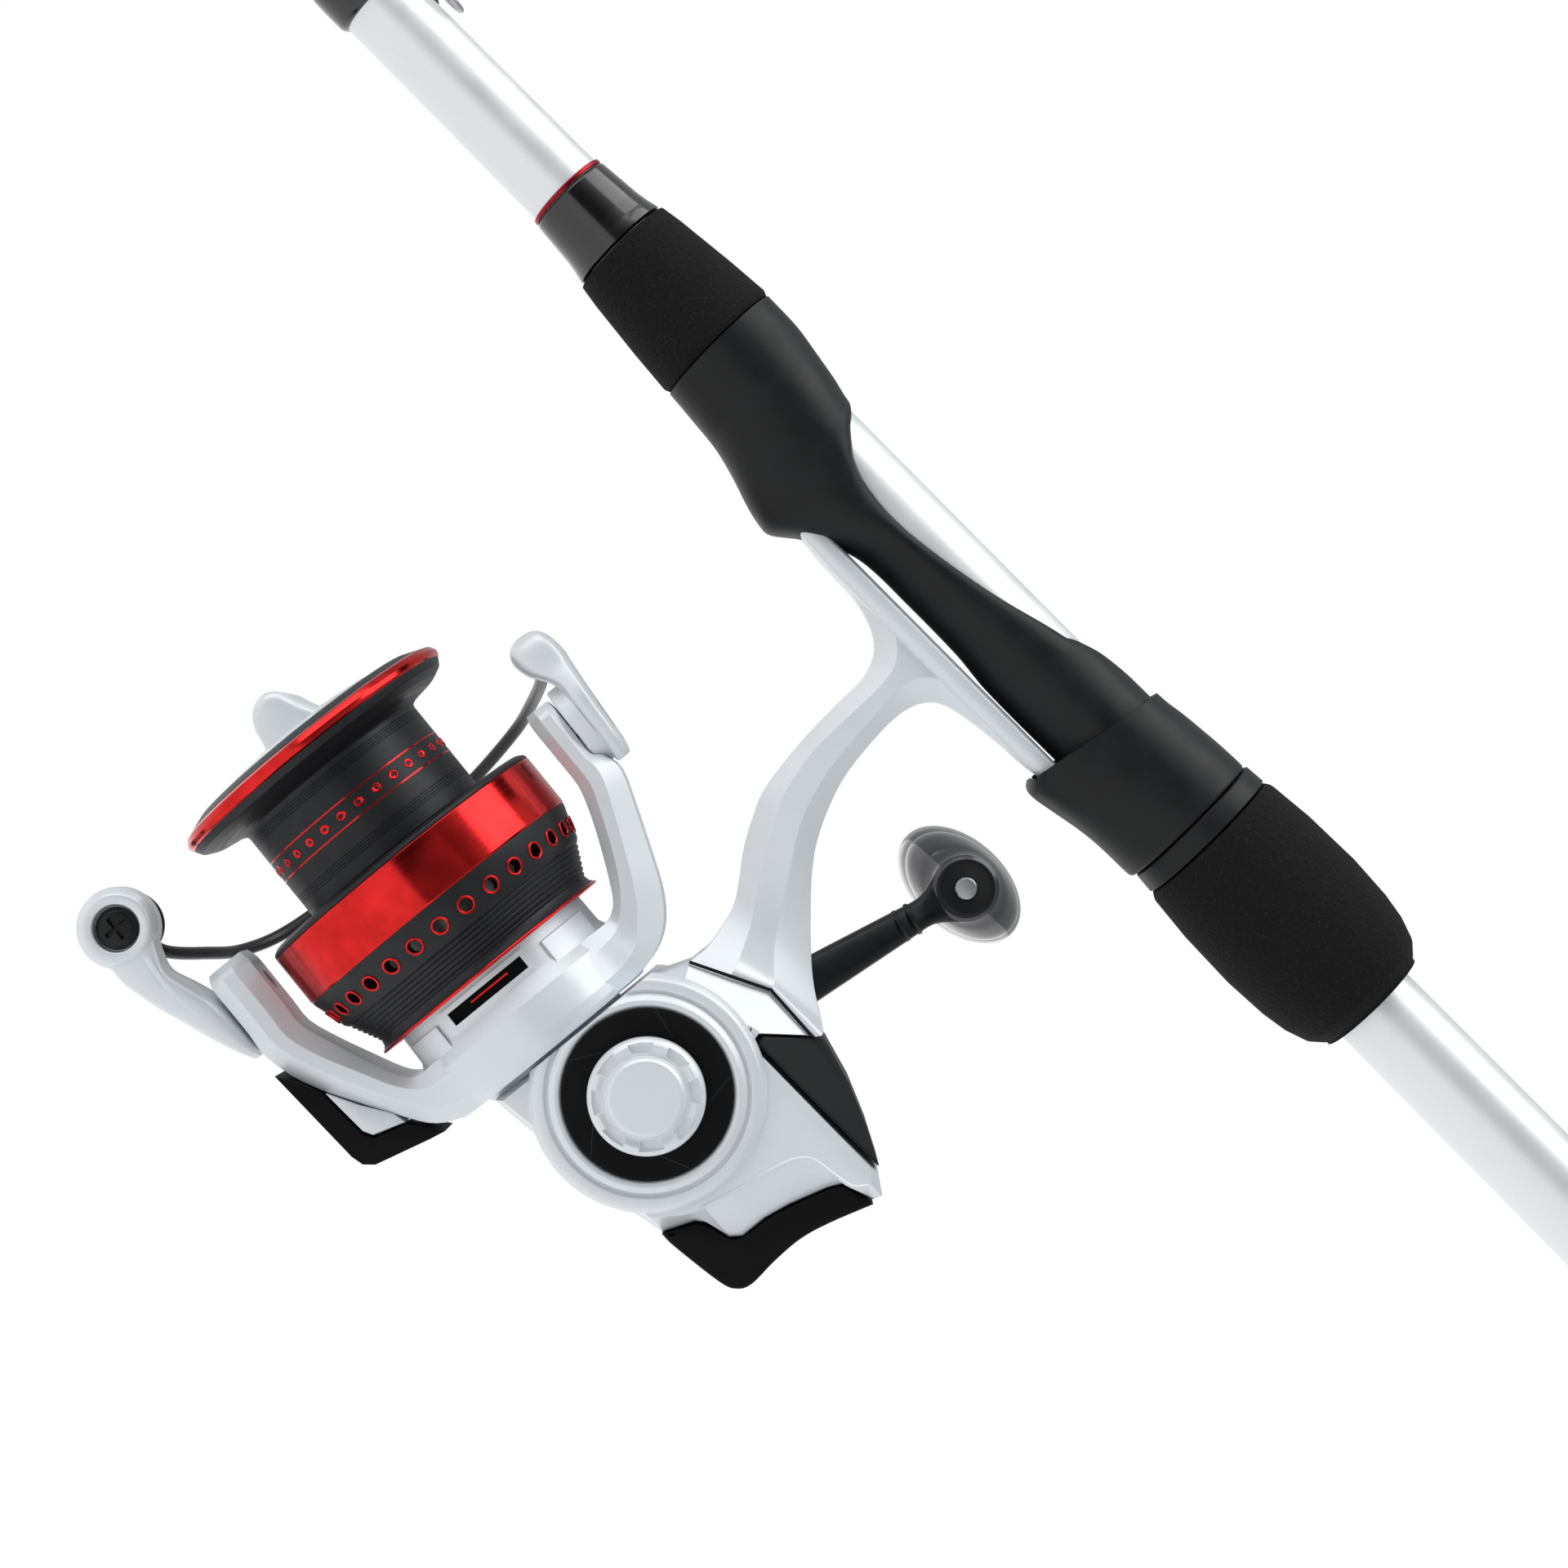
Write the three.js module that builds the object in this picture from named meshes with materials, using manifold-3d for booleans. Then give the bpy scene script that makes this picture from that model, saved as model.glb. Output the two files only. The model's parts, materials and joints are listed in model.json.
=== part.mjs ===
// A two-piece spinning rod with its fixed-spool reel.
// Millimetres. +X runs along the rod to its tip, +Z up, away from the reel that hangs under the rod.
// The origin is the centre of the butt cap's end face. The handle is on the -Y side.

import * as THREE from 'three';
import { mergeVertices } from 'three/addons/utils/BufferGeometryUtils.js';
import Module from 'manifold-3d';

const wasm = await Module();
wasm.setup();

// ---------------------------------------------------------------- driving dimensions

const ROD_LENGTH = 1829;
const SEAT_X = 330;                 // middle of the reel foot, from the butt end
const GAP = 0.3;                    // running gap kept between neighbouring solids

const BLANK_BUTT_RADIUS = 7.62;
const BLANK_TAPER = 0.00345;        // radius lost per millimetre of length
const TIP_RADIUS = 1.05;
const FERRULE_X = 930;              // where the tip section starts
const FERRULE_SHOW = 2;             // length of the spigot that shows between the sections
const SLEEVE_RADIUS = 6.9;          // thickened blank inside the reel seat
const BARREL_RADIUS = 8.6;          // threaded barrel under the sliding hood
const HOOD_BORE = BARREL_RADIUS + GAP;

const REEL_TILT = THREE.MathUtils.degToRad(5.6);   // the spool axis rises towards the tip
const REEL_X = SEAT_X - 3.65;       // rotor's rear plane on the spool axis
const REEL_Z = -91.1;

// All the reel's own sizes are in the reel's frame: X along the spool axis, from the rotor's rear plane.
const CRANK_X = -13.85;             // handle axis, parallel to Y
const CRANK_Z = 7.35;
const CRANK_LENGTH = 56.8;
const CRANK_LEAN = Math.atan2(-9.35, 56.05);       // the handle stands a little behind upright
const KNOB_TURN = THREE.MathUtils.degToRad(18);    // how the flat knob stands on its pin
const SHAFT_RADIUS = 2;
const HOUSING_HALF = 15;            // half thickness of the housing
const BOSS_RADIUS = 17.2;
const BEARING_RADIUS = 6.9;         // the two ball bearings that carry the crank
const BAIL_X = 34.5;                // bail pivot axis, parallel to Z
const ROLLER_X = 54.5;
const ROLLER_Z = -39;
const ARBOR_RADIUS = 15.7;
const LIP_RADIUS = 23.6;
const WIRE_RADIUS = 1;              // bail wire
const WORM_Y = -8.5;
const WORM_Z = -0.3;
const WORM_RADIUS = 1.7;

const SIDES = 20;                   // facets round a turned part

// ---------------------------------------------------------------- materials

const look = (color, roughness, metalness = 0) => ({ color, roughness, metalness });
const PEARL = look(0xe9eef2, 0.25);
const BLACK = look(0x1b1c1e, 0.45);
const CHARCOAL = look(0x3a3b3f, 0.6);
const FOAM = look(0x151515, 0.95);
const RUBBER = look(0x161616, 0.85);
const RED = look(0xb3161c, 0.25, 0.9);
const STEEL = look(0xb8bcc0, 0.3, 1);
const BRASS = look(0xb08d4a, 0.35, 1);
const GUNMETAL = look(0x3d3f44, 0.3, 1);
const SMOKE = look(0x2b2d34, 0.25);
const FELT = look(0x6b6b66, 0.9);

// ---------------------------------------------------------------- solids

/** A closed, indexed copy of a geometry, with no empty triangles and its faces pointing out. */
function closed(geometry) {
  const bare = geometry.clone();
  bare.deleteAttribute('normal');
  bare.deleteAttribute('uv');
  const merged = bare.userData.joined ? bare : mergeVertices(bare, 1e-4);
  const position = merged.attributes.position;
  const index = merged.index.array;
  const corners = [0, 1, 2].map(() => new THREE.Vector3());
  const kept = [];
  let volume = 0;
  for (let i = 0; i < index.length; i += 3) {
    const triangle = [index[i], index[i + 1], index[i + 2]];
    if (new Set(triangle).size < 3) continue;
    corners.forEach((corner, k) => corner.fromBufferAttribute(position, triangle[k]));
    volume += corners[0].dot(corners[1].clone().cross(corners[2]));
    kept.push(triangle);
  }
  if (volume < 0) kept.forEach((triangle) => triangle.reverse());
  const result = new THREE.BufferGeometry();
  result.setAttribute('position', position);
  result.setIndex(kept.flat());
  return result;
}

function toSolid(geometry) {
  const source = closed(geometry);
  return new wasm.Manifold(new wasm.Mesh({
    numProp: 3,
    vertProperties: Float32Array.from(source.attributes.position.array),
    triVerts: Uint32Array.from(source.index.array),
  }));
}

function toGeometry(solid) {
  const mesh = solid.getMesh();
  const geometry = new THREE.BufferGeometry();
  geometry.setAttribute('position', new THREE.BufferAttribute(Float32Array.from(mesh.vertProperties), 3));
  geometry.setIndex(Array.from(mesh.triVerts));
  geometry.userData.joined = true;   // its shared vertices are merged already
  return geometry;
}

const join = (first, ...others) =>
  toGeometry(others.reduce((solid, other) => solid.add(toSolid(other)), toSolid(first)));
const cut = (first, ...others) =>
  toGeometry(others.reduce((solid, other) => solid.subtract(toSolid(other)), toSolid(first)));
const common = (first, ...others) =>
  toGeometry(others.reduce((solid, other) => solid.intersect(toSolid(other)), toSolid(first)));

/** Turned part about X. The profile is [x, radius] pairs: from axis to axis, or a closed ring. */
function turned(profile, sides = SIDES) {
  const points = profile.map(([x, radius]) => new THREE.Vector2(radius, x));
  const onAxis = profile[0][1] === 0 && profile[profile.length - 1][1] === 0;
  if (!onAxis) points.push(points[0].clone());
  return new THREE.LatheGeometry(points, sides).rotateZ(-Math.PI / 2);
}

/** Turned part about an axis parallel to Y through [x, z]. The profile is [y, radius] pairs. */
const turnedY = (profile, x, z, sides = SIDES) => (
  turned(profile, sides).rotateZ(Math.PI / 2).translate(x, 0, z)
);

/** Turned part about an axis parallel to Z through [x, y]. The profile is [z, radius] pairs. */
const turnedZ = (profile, x, y, sides = SIDES) => (
  turned(profile, sides).rotateY(-Math.PI / 2).translate(x, y, 0)
);

/** The profile of a plain pin, and of a plain tube, from a to b. */
const pin = (a, b, radius) => [[a, 0], [a, radius], [b, radius], [b, 0]];
const tube = (a, b, inner, outer) => [[a, inner], [a, outer], [b, outer], [b, inner]];

/** A flat part: an outline of [x, z] pairs, from y = low to y = high. */
function plate(outline, low, high) {
  const shape = new THREE.Shape(outline.map(([x, z]) => new THREE.Vector2(x, z)));
  const options = { depth: high - low, bevelEnabled: false };
  return new THREE.ExtrudeGeometry(shape, options).rotateX(Math.PI / 2).translate(0, high, 0);
}

/** A box between two corners. */
function block(low, high) {
  const size = low.map((value, i) => high[i] - value);
  const middle = low.map((value, i) => (value + high[i]) / 2);
  return new THREE.BoxGeometry(...size).translate(...middle);
}

/** A round bar that follows a smooth path through [x, y, z] points. */
function bar(points, radius, sides, steps) {
  const path = new THREE.CatmullRomCurve3(points.map((point) => new THREE.Vector3(...point)));
  const section = new THREE.Shape();
  section.absarc(0, 0, radius, 0, 2 * Math.PI);
  const options = { extrudePath: path, steps, curveSegments: sides, bevelEnabled: false };
  return new THREE.ExtrudeGeometry(section, options);
}

/** Points of an arc in the XZ plane, from one angle to another in degrees. */
function arc(x, z, radius, from, to, count) {
  return Array.from({ length: count + 1 }, (_, i) => {
    const angle = THREE.MathUtils.degToRad(from + ((to - from) * i) / count);
    return [x + radius * Math.cos(angle), z + radius * Math.sin(angle)];
  });
}

const rod = new THREE.Group();
const reel = new THREE.Group();
reel.position.set(REEL_X, 0, REEL_Z);
reel.rotation.y = -REEL_TILT;
rod.add(reel);

/** Adds one named sub-part to a group. */
function addPart(group, name, geometry, surface) {
  const shaded = closed(geometry);
  shaded.computeVertexNormals();
  const mesh = new THREE.Mesh(shaded, new THREE.MeshStandardMaterial(surface));
  mesh.name = name;
  group.add(mesh);
}

// ---------------------------------------------------------------- the blank and its ferrule

const blankRadius = (x) => BLANK_BUTT_RADIUS - BLANK_TAPER * x;
const seatX = (u) => SEAT_X + u;

function buttSection() {
  const end = FERRULE_X - FERRULE_SHOW;
  const wall = 1.1;
  const sleeveRear = seatX(-32);
  const sleeveFront = seatX(36);
  return turned([
    [4, blankRadius(4)],
    [sleeveRear - 3, blankRadius(sleeveRear)],
    [sleeveRear, SLEEVE_RADIUS],
    [sleeveFront, SLEEVE_RADIUS],
    [sleeveFront + 8, blankRadius(sleeveFront)],
    [end, blankRadius(end)],
    [end, blankRadius(end) - wall],
    [4, blankRadius(4) - wall],
  ]);
}

function spigot() {
  const radius = blankRadius(FERRULE_X) - 1.45;
  return turned([
    [FERRULE_X - 60, 0],
    [FERRULE_X - 60, radius],
    [FERRULE_X + 52, radius - 0.35],
    [FERRULE_X + 55, radius - 1.2],
    [FERRULE_X + 55, 0],
  ], 16);
}

function tipSection() {
  const start = blankRadius(FERRULE_X);
  const boreEnd = FERRULE_X + 200;
  return turned([
    [boreEnd, 0],
    [boreEnd - 3, 1.2],
    [FERRULE_X + 60, start - 1.35],
    [FERRULE_X, start - 1.15],
    [FERRULE_X, start + 0.35],
    [FERRULE_X + 40, start + 0.1],
    [ROD_LENGTH - 8, TIP_RADIUS],
    [ROD_LENGTH - 8, 0],
  ], 16);
}

addPart(rod, 'blank_butt', buttSection(), PEARL);
addPart(rod, 'ferrule_spigot', spigot(), BLACK);

// ---------------------------------------------------------------- grips, windings and butt cap

addPart(rod, 'butt_cap', turned([
  [0, 0], [0, 11.5], [2, 13.4], [9, 13.8], [11, 13.2], [11, BLANK_BUTT_RADIUS + GAP],
  [3.6, BLANK_BUTT_RADIUS + GAP], [3.6, 0],
]), RUBBER);

addPart(rod, 'butt_grip', turned([
  [11.3, 8], [11.3, 12.9], [40, 13.2], [74, 12.4], [92, 10.6], [97, 8.9], [97, 8],
]), FOAM);

addPart(rod, 'fore_grip', turned([
  [seatX(53.4), 6.7], [seatX(53.4), 10.4], [seatX(61), 9.9], [seatX(70.4), 8.95], [seatX(73.6), 8.4],
  [seatX(73.6), 6.7],
]), FOAM);

addPart(rod, 'fore_winding', turned([
  [seatX(73.9), 6.7], [seatX(73.9), 8.1], [seatX(78), 7.3], [seatX(84.7), 6.8], [seatX(84.7), 6.55],
]), BLACK);

addPart(rod, 'trim_band', turned(tube(seatX(85), seatX(86.2), 6.5, 6.85)), RED);

/** The hook keeper: a winding that holds a small wire frame, and the folding ring in its eye. */
function keeperWrap() {
  const x = seatX(117);
  const winding = turned([
    [x, 6.4], [x, 6.75], [x + 2, 7], [x + 14, 7], [x + 16, 6.7], [x + 16, 6.35],
  ], 20);
  const post = block([x + 4, -1, 6.75], [x + 7, 1, 9.1]);
  const eye = turnedY(pin(-2, 2, 0.9), x + 5.5, 7.9, 10);
  return cut(join(winding, post), eye);
}

/** A ring of round wire lying in the XY plane at height z. */
function wireRing(x, y, z, radius, wire, sides, wireSides) {
  const section = Array.from({ length: wireSides }, (_, i) => {
    const angle = (2 * Math.PI * i) / wireSides;
    return [z + wire * Math.sin(angle), radius + wire * Math.cos(angle)];
  });
  return turnedZ(section, x, y, sides);
}

addPart(rod, 'keeper_wrap', keeperWrap(), BLACK);
addPart(rod, 'keeper_ring', wireRing(seatX(117 + 5.5 - 3.3), 0, 7.9, 3.3, 0.5, 16, 6), STEEL);

// ---------------------------------------------------------------- reel seat

/** An egg-shaped bar along X: the rounded section that the seat and its hoods are cut from. */
function eggBar(from, to, topRadius, bottomRadius, drop) {
  const shape = new THREE.Shape();
  shape.absarc(0, 0, topRadius, 0, Math.PI);
  shape.absarc(0, -drop, bottomRadius, Math.PI, 2 * Math.PI);
  const options = { depth: to - from, curveSegments: 12, bevelEnabled: false };
  return new THREE.ExtrudeGeometry(shape, options)
    .rotateX(Math.PI / 2)
    .rotateZ(Math.PI / 2)
    .translate(from, 0, 0);
}

function reelSeat() {
  const sideView = [
    [-26, -8.1], [-11.3, -8.1], [-4.7, -6.3], [8, -6.9], [16, -8.1], [23.5, -11.7], [28.2, -14.8],
    [32.9, -14.1], [37.6, -12.6], [42.3, -11.3], [47, -10.9], [53.1, -10.4], [53.1, 10.4], [47, 10.2],
    [42.3, 9.5], [37.6, 8.7], [33, 7.7], [28.2, 3.8], [23.5, 0.5], [18.8, -0.3], [9.4, 0], [0, 1.9],
    [-9.4, 4.7], [-18.8, 7.5], [-23.5, 8.5], [-29.1, 8.7],
  ].map(([u, z]) => [seatX(u), z]);
  const half = 12;
  const body = common(plate(sideView, -half, half), eggBar(seatX(-29.5), seatX(53.1), 10.5, 10.4, 4.6));
  const barrel = turned(pin(seatX(-75), seatX(-28), BARREL_RADIUS));
  const flat = block([seatX(-32.5), -half, -12], [seatX(-20), half, -8.15]);
  const bore = turned(pin(seatX(-80), seatX(60), SLEEVE_RADIUS + GAP));
  const pocket = block([seatX(5), -6.6, -12.2], [seatX(31.4), 6.6, -8.15]);
  return cut(join(body, barrel), flat, bore, pocket);
}

function slidingHood() {
  const sideView = [
    [-46.5, -12.4], [-37.6, -12.8], [-31, -14.2], [-28.2, -14.4], [-25.4, -13.1], [-29.6, 9.3],
    [-33, 10.2], [-37.6, 10.7], [-46.5, 10.9],
  ].map(([u, z]) => [seatX(u), z]);
  const outer = common(plate(sideView, -12, 12), eggBar(seatX(-46.5), seatX(-25.4), 10.95, 10.4, 4));
  const bore = turned(pin(seatX(-48), seatX(-20), HOOD_BORE));
  const footSlot = block([seatX(-31.6), -6.7, -12.3], [seatX(-20), 6.7, -4]);
  return cut(outer, bore, footSlot);
}

addPart(rod, 'reel_seat', reelSeat(), CHARCOAL);
addPart(rod, 'sliding_hood', slidingHood(), CHARCOAL);
addPart(rod, 'lock_ring', turned([
  [seatX(-50.2), HOOD_BORE], [seatX(-50.2), 11.9], [seatX(-49.6), 12.1], [seatX(-47.2), 11.7],
  [seatX(-46.8), 11.4], [seatX(-46.8), HOOD_BORE],
]), BLACK);
addPart(rod, 'lock_nut', turned([
  [seatX(-85), 7.4], [seatX(-85), 8.6], [seatX(-82.5), 10.9], [seatX(-79), 12.1], [seatX(-75), 12.75],
  [seatX(-68), 13.2], [seatX(-58.7), 12.9], [seatX(-50.5), 12.1], [seatX(-50.5), HOOD_BORE],
  [seatX(-76), HOOD_BORE], [seatX(-77), 7.4],
]), FOAM);

// ---------------------------------------------------------------- guides

/** A guide: a foot along the blank, two legs, and the ring that hangs below. */
function guide(x, ringRadius, drop, footLength) {
  const surface = -blankRadius(x) - 0.7;
  const wire = Math.max(0.7, ringRadius * 0.09);
  const centre = surface - drop;
  const ring = turned(tube(x - wire, x + wire, ringRadius, ringRadius + 2 * wire), 20)
    .translate(0, 0, centre);
  const footHalf = Math.max(0.9, ringRadius * 0.13);
  const toe = x - footLength;
  const foot = block([toe, -footHalf, surface - 0.9], [x + footLength * 0.25, footHalf, surface]);
  const reach = Math.hypot(footLength * 0.6, drop - ringRadius) + wire;
  const lean = Math.atan2(footLength * 0.6, drop - ringRadius);
  const leg = block([-wire, -footHalf, 0], [wire, footHalf, reach]).rotateY(-lean)
    .translate(x, 0, centre + ringRadius + wire);
  const ringTop = centre + ringRadius + wire * 0.5;
  const strut = block([x - wire, -footHalf, ringTop], [x + wire, footHalf, surface]);
  const opening = turned(pin(x - 3, x + 3, ringRadius), 20).translate(0, 0, centre);
  const belowBlank = block([x - 60, -9, centre], [x + 9, 9, surface]);
  return cut(join(ring, foot, common(leg, belowBlank), strut), opening);
}

const GUIDES = [
  // distance from the butt, ring radius, drop of the ring's centre, foot length
  [835, 10.5, 27, 20],
  [1085, 6.6, 16, 14],
  [1300, 4.4, 10.5, 11],
  [1490, 3.3, 7.6, 9],
  [1665, 2.7, 6, 8],
];
GUIDES.forEach(([x, ringRadius, drop, footLength], i) => {
  addPart(rod, `guide_${i + 1}`, guide(x, ringRadius, drop, footLength), GUNMETAL);
});

function tipTop() {
  const start = ROD_LENGTH - 16;
  const ringX = ROD_LENGTH - 2.2;
  const drop = -3.4;
  const socket = turned([
    [start, TIP_RADIUS + 0.25], [start, TIP_RADIUS + 0.75], [ringX - 2, TIP_RADIUS + 0.75],
    [ringX - 1, 0], [ROD_LENGTH - 7.6, 0], [ROD_LENGTH - 7.6, TIP_RADIUS + 0.25],
  ], 14);
  const ring = turned(tube(ringX - 1, ringX + 1, 2.1, 3.3), 18).translate(0, 0, drop);
  const neck = block([ringX - 5, -0.7, -2.6], [ringX + 0.4, 0.7, -0.4]);
  const opening = turned(pin(ringX - 6, ringX + 3, 2.1), 18).translate(0, 0, drop);
  const tipBore = turned(pin(start, ROD_LENGTH - 7.6, TIP_RADIUS + 0.25), 14);
  return cut(join(socket, ring, cut(neck, tipBore)), opening);
}

addPart(rod, 'blank_tip', tipSection(), PEARL);
addPart(rod, 'tip_top', tipTop(), GUNMETAL);

// ---------------------------------------------------------------- reel housing

/** Housing seen from the side, without the rubber corner and the dark rear panel. */
const HOUSING = [
  [-0.6, -11], [-0.6, 17.2], [-3, 24.1], [-13.6, 30.3], [-22.2, 30.6], [-17.6, 25.8], [-18.1, 23.75],
  [-44.2, 26], [-47.6, 24.4], [-47.4, 23], [-42.8, 21.2], [-41.8, 19.8], [-39.8, 12.8], [-39, 8.8],
  [-39, 4.6], [-37.9, 3],
  [-34.3, 2], [-32.9, 0.6], [-31, -4.3], [-25.3, -5.6],
  ...arc(CRANK_X, CRANK_Z, BOSS_RADIUS, -128, -75, 5),
  [-8.2, -9.5],
];
const CAVITY = [
  [-2.6, -8.4], [-2.6, 16.6], [-4.7, 22.6], [-13.9, 28.3], [-18.5, 28.4], [-15.9, 25.4], [-16.4, 21.8],
  [-41, 23.9], [-41.2, 22.4], [-40.2, 20.6], [-38, 12.6], [-37.3, 8.6], [-37.2, 5.8], [-36.2, 4.6],
  [-33.2, 3.8], [-31.6, 1.2], [-31.6, -3], [-25, -3.9], [-18, -7.2], [-8.2, -7.6],
];
const BUMPER = [
  [-31.3, -4.4], [-43, -2], [-45.4, 0.6], [-45, 6], [-44.8, 11], [-45.8, 15.9], [-47.8, 22.8],
  [-43.2, 20.9], [-42.2, 19.6], [-40.2, 12.7], [-39.4, 8.8], [-39.4, 4.4], [-38.1, 2.6], [-34.5, 1.6],
  [-33.3, 0.3],
];
const PANEL = [[-24.3, 32.3], [-44.3, 26.5], [-18.4, 24.1], [-17.9, 25.7], [-22.9, 31]];

const FRONT_X = -0.6;               // the housing's front face, just behind the rotor
const COVER_SCREWS = [[-36, 7.2], [-8.5, 24.2]];

function housingBlock() {
  const boss = turnedY([
    [-16.6, 0], [-16.6, 15], [-16, BOSS_RADIUS], [16, BOSS_RADIUS], [16.6, 15], [16.6, 0],
  ], CRANK_X, CRANK_Z, 28);
  const ahead = block([FRONT_X, -30, -40], [20, 30, 60]);
  return cut(join(plate(HOUSING, -HOUSING_HALF, HOUSING_HALF), boss), ahead);
}

/** The hollow housing with its bearing seats and screw posts. */
function housingShell() {
  const wall = 1.6;
  const inner = plate(CAVITY, -HOUSING_HALF + wall, HOUSING_HALF - wall);
  const posts = COVER_SCREWS.map(([x, z]) => turnedY(pin(-14, 14, 2.6), x, z, 14));
  const seats = turnedY(pin(-14, 14, 8.1), CRANK_X, CRANK_Z);
  const between = turnedY(pin(-10.4, 10.4, 8.6), CRANK_X, CRANK_Z);
  const hollow = cut(housingBlock(), inner);
  const handleHole = turnedY(pin(-20, 20, BEARING_RADIUS + GAP), CRANK_X, CRANK_Z);
  return cut(join(hollow, ...posts, cut(seats, between)), handleHole);
}

const STEM = [
  [14.6, 74], [13.2, 70], [12.7, 65], [11.8, 58], [10, 49], [5, 40.5], [-1, 33.5], [-2.7, 29],
  [-3, 24.4], [-13.6, 30.6], [-22.4, 31.4], [-23.6, 32.6], [-19.5, 34.5], [-9, 42], [-4, 46.5],
  [0, 51], [3, 56], [4.6, 61], [5.5, 66], [5.7, 72.5],
];
const FOOT_TOP = -8.5;
const FOOT_HALF_WIDTH = 6.2;

/**
 * Foot, stem and the flare that joins them.
 * The foot lies along the rod, so it is drawn in the rod's frame.
 */
function stemAndFoot() {
  const foot = common(
    plate([
      [-30.2, FOOT_TOP], [-30.2, -10.6], [-24, -12], [-4, -12.3], [5, -12.4], [18, -12.2], [24, -11.8],
      [30.6, -10.8], [30.6, FOOT_TOP],
    ].map(([u, z]) => [seatX(u), z]), -FOOT_HALF_WIDTH, FOOT_HALF_WIDTH),
    eggBar(seatX(-31), seatX(31), 0.1 + FOOT_HALF_WIDTH, 0.1 + FOOT_HALF_WIDTH, 5.9),
  ).translate(-REEL_X, 0, -REEL_Z).rotateY(REEL_TILT);
  const flare = plate([
    [21, 77.1], [17.4, 75.9], [14.6, 73.2], [5.7, 72.2], [4.4, 76.2], [1.5, 78.5], [-5, 80.2], [0, 82],
    [16, 80.5],
  ], -5.2, 5.2);
  const stem = plate(STEM, -6, 6);
  const shoulder = plate([
    [-1, 33.5], [-2.7, 29], [-3, 24.4], [-13.6, 30.6], [-22.4, 31.4], [-23.6, 32.6], [-19.5, 34.5],
    [-12, 39.6], [-2, 38],
  ], -11, 11);
  const bridge = plate([
    [-3.3, 23], [-3.2, 25], [-13.6, 31.4], [-21.8, 31.8], [-20.5, 29.4], [-13.8, 29.1],
  ], -10.5, -0.4);
  return join(foot, flare, stem, shoulder, bridge);
}

function reelFrame() {
  const half = common(housingShell(), block([-60, -30, -30], [0, -0.15, 40]));
  const wall = common(housingBlock(), block([-2.6, -20, -30], [FRONT_X, 20, 16.5]));
  const nose = turned(tube(-1.2, 13, 11.3, 12.6), 28);
  const bearingHole = turned(pin(-4, 1, 6.8));
  return join(cut(join(half, wall), bearingHole), nose, stemAndFoot());
}

function sideCover() {
  const half = common(housingShell(), block([-60, 0.15, -30], [-2.9, 30, 40]));
  return cut(half, ...COVER_SCREWS.map(([x, z]) => turnedY(pin(-1, 8, 1.5), x, z, 10)));
}

/** Small screws that enter from the handle side and pull the two halves together. */
function coverScrew([x, z]) {
  return turnedY([
    [-15.9, 0], [-15.9, 1.9], [-14.2, 1.9], [-14.2, 1.1], [7, 1.1], [7, 0],
  ], x, z, 12);
}

function screwHoles() {
  return COVER_SCREWS.flatMap(([x, z]) => [
    turnedY(pin(-20, 9, 1.4), x, z, 12),
    turnedY(pin(-20, -13.9, 2.2), x, z, 12),
  ]);
}

addPart(reel, 'reel_frame', cut(reelFrame(), ...screwHoles()), PEARL);
addPart(reel, 'side_cover', sideCover(), PEARL);
addPart(reel, 'rear_bumper', plate(BUMPER, -14.4, 14.4), RUBBER);
addPart(reel, 'rear_panel', plate(PANEL, -12.6, 12.6), CHARCOAL);
COVER_SCREWS.forEach((place, i) => addPart(reel, `cover_screw_${i + 1}`, coverScrew(place), STEEL));

// ---------------------------------------------------------------- gear train

const HUB_RADIUS = 4.2;
const SHANK_RADIUS = 2.8;
const crankTurned = (profile, sides) => turnedY(profile, CRANK_X, CRANK_Z, sides);

/** Teeth on the edge of a wheel about X: short blocks round the rim. */
function toothed(profile, sides, teeth, from, to, rootRadius, height) {
  const width = (Math.PI * rootRadius) / teeth * 0.8;
  const tooth = () => block([from, -width / 2, rootRadius - 0.4], [to, width / 2, rootRadius + height]);
  const ring = Array.from({ length: teeth }, (_, i) => tooth().rotateX((2 * Math.PI * i) / teeth));
  return join(turned(profile, sides), ...ring);
}

const DRIVE_TEETH = 35;
const PINION_TEETH = 6;
const WORM_TEETH = 8;

addPart(reel, 'drive_gear', toothed([
  [-11.5, SHANK_RADIUS + GAP], [-11.5, HUB_RADIUS], [4.6, HUB_RADIUS], [4.6, 10.2], [6.6, 10.2],
  [6.6, HUB_RADIUS], [11.5, HUB_RADIUS], [11.5, SHANK_RADIUS + GAP],
], SIDES, DRIVE_TEETH, 3.9, 5.4, 9.2, 1.5).rotateZ(Math.PI / 2).translate(CRANK_X, 0, CRANK_Z), BRASS);
const driveBearing = (from, to) => crankTurned(tube(from, to, HUB_RADIUS + GAP, BEARING_RADIUS), 20);
addPart(reel, 'drive_bearing_left', driveBearing(10.8, 14.6), STEEL);
addPart(reel, 'drive_bearing_right', driveBearing(-14.6, -10.8), STEEL);
addPart(reel, 'pinion_gear', toothed([
  [-8.9, SHAFT_RADIUS + GAP], [-8.9, 2.9], [-4.7, 2.9], [-4.7, 3.6], [23.6, 3.6],
  [23.6, SHAFT_RADIUS + GAP],
], 16, PINION_TEETH, -8.8, -4.9, 2.9, 0.6), BRASS);
addPart(reel, 'pinion_bearing', turned(tube(-2.3, 2.2, 4, 6.5), 20), STEEL);
addPart(reel, 'roller_clutch', turned(tube(2.8, 12.4, 4, 11), SIDES), STEEL);

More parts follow.
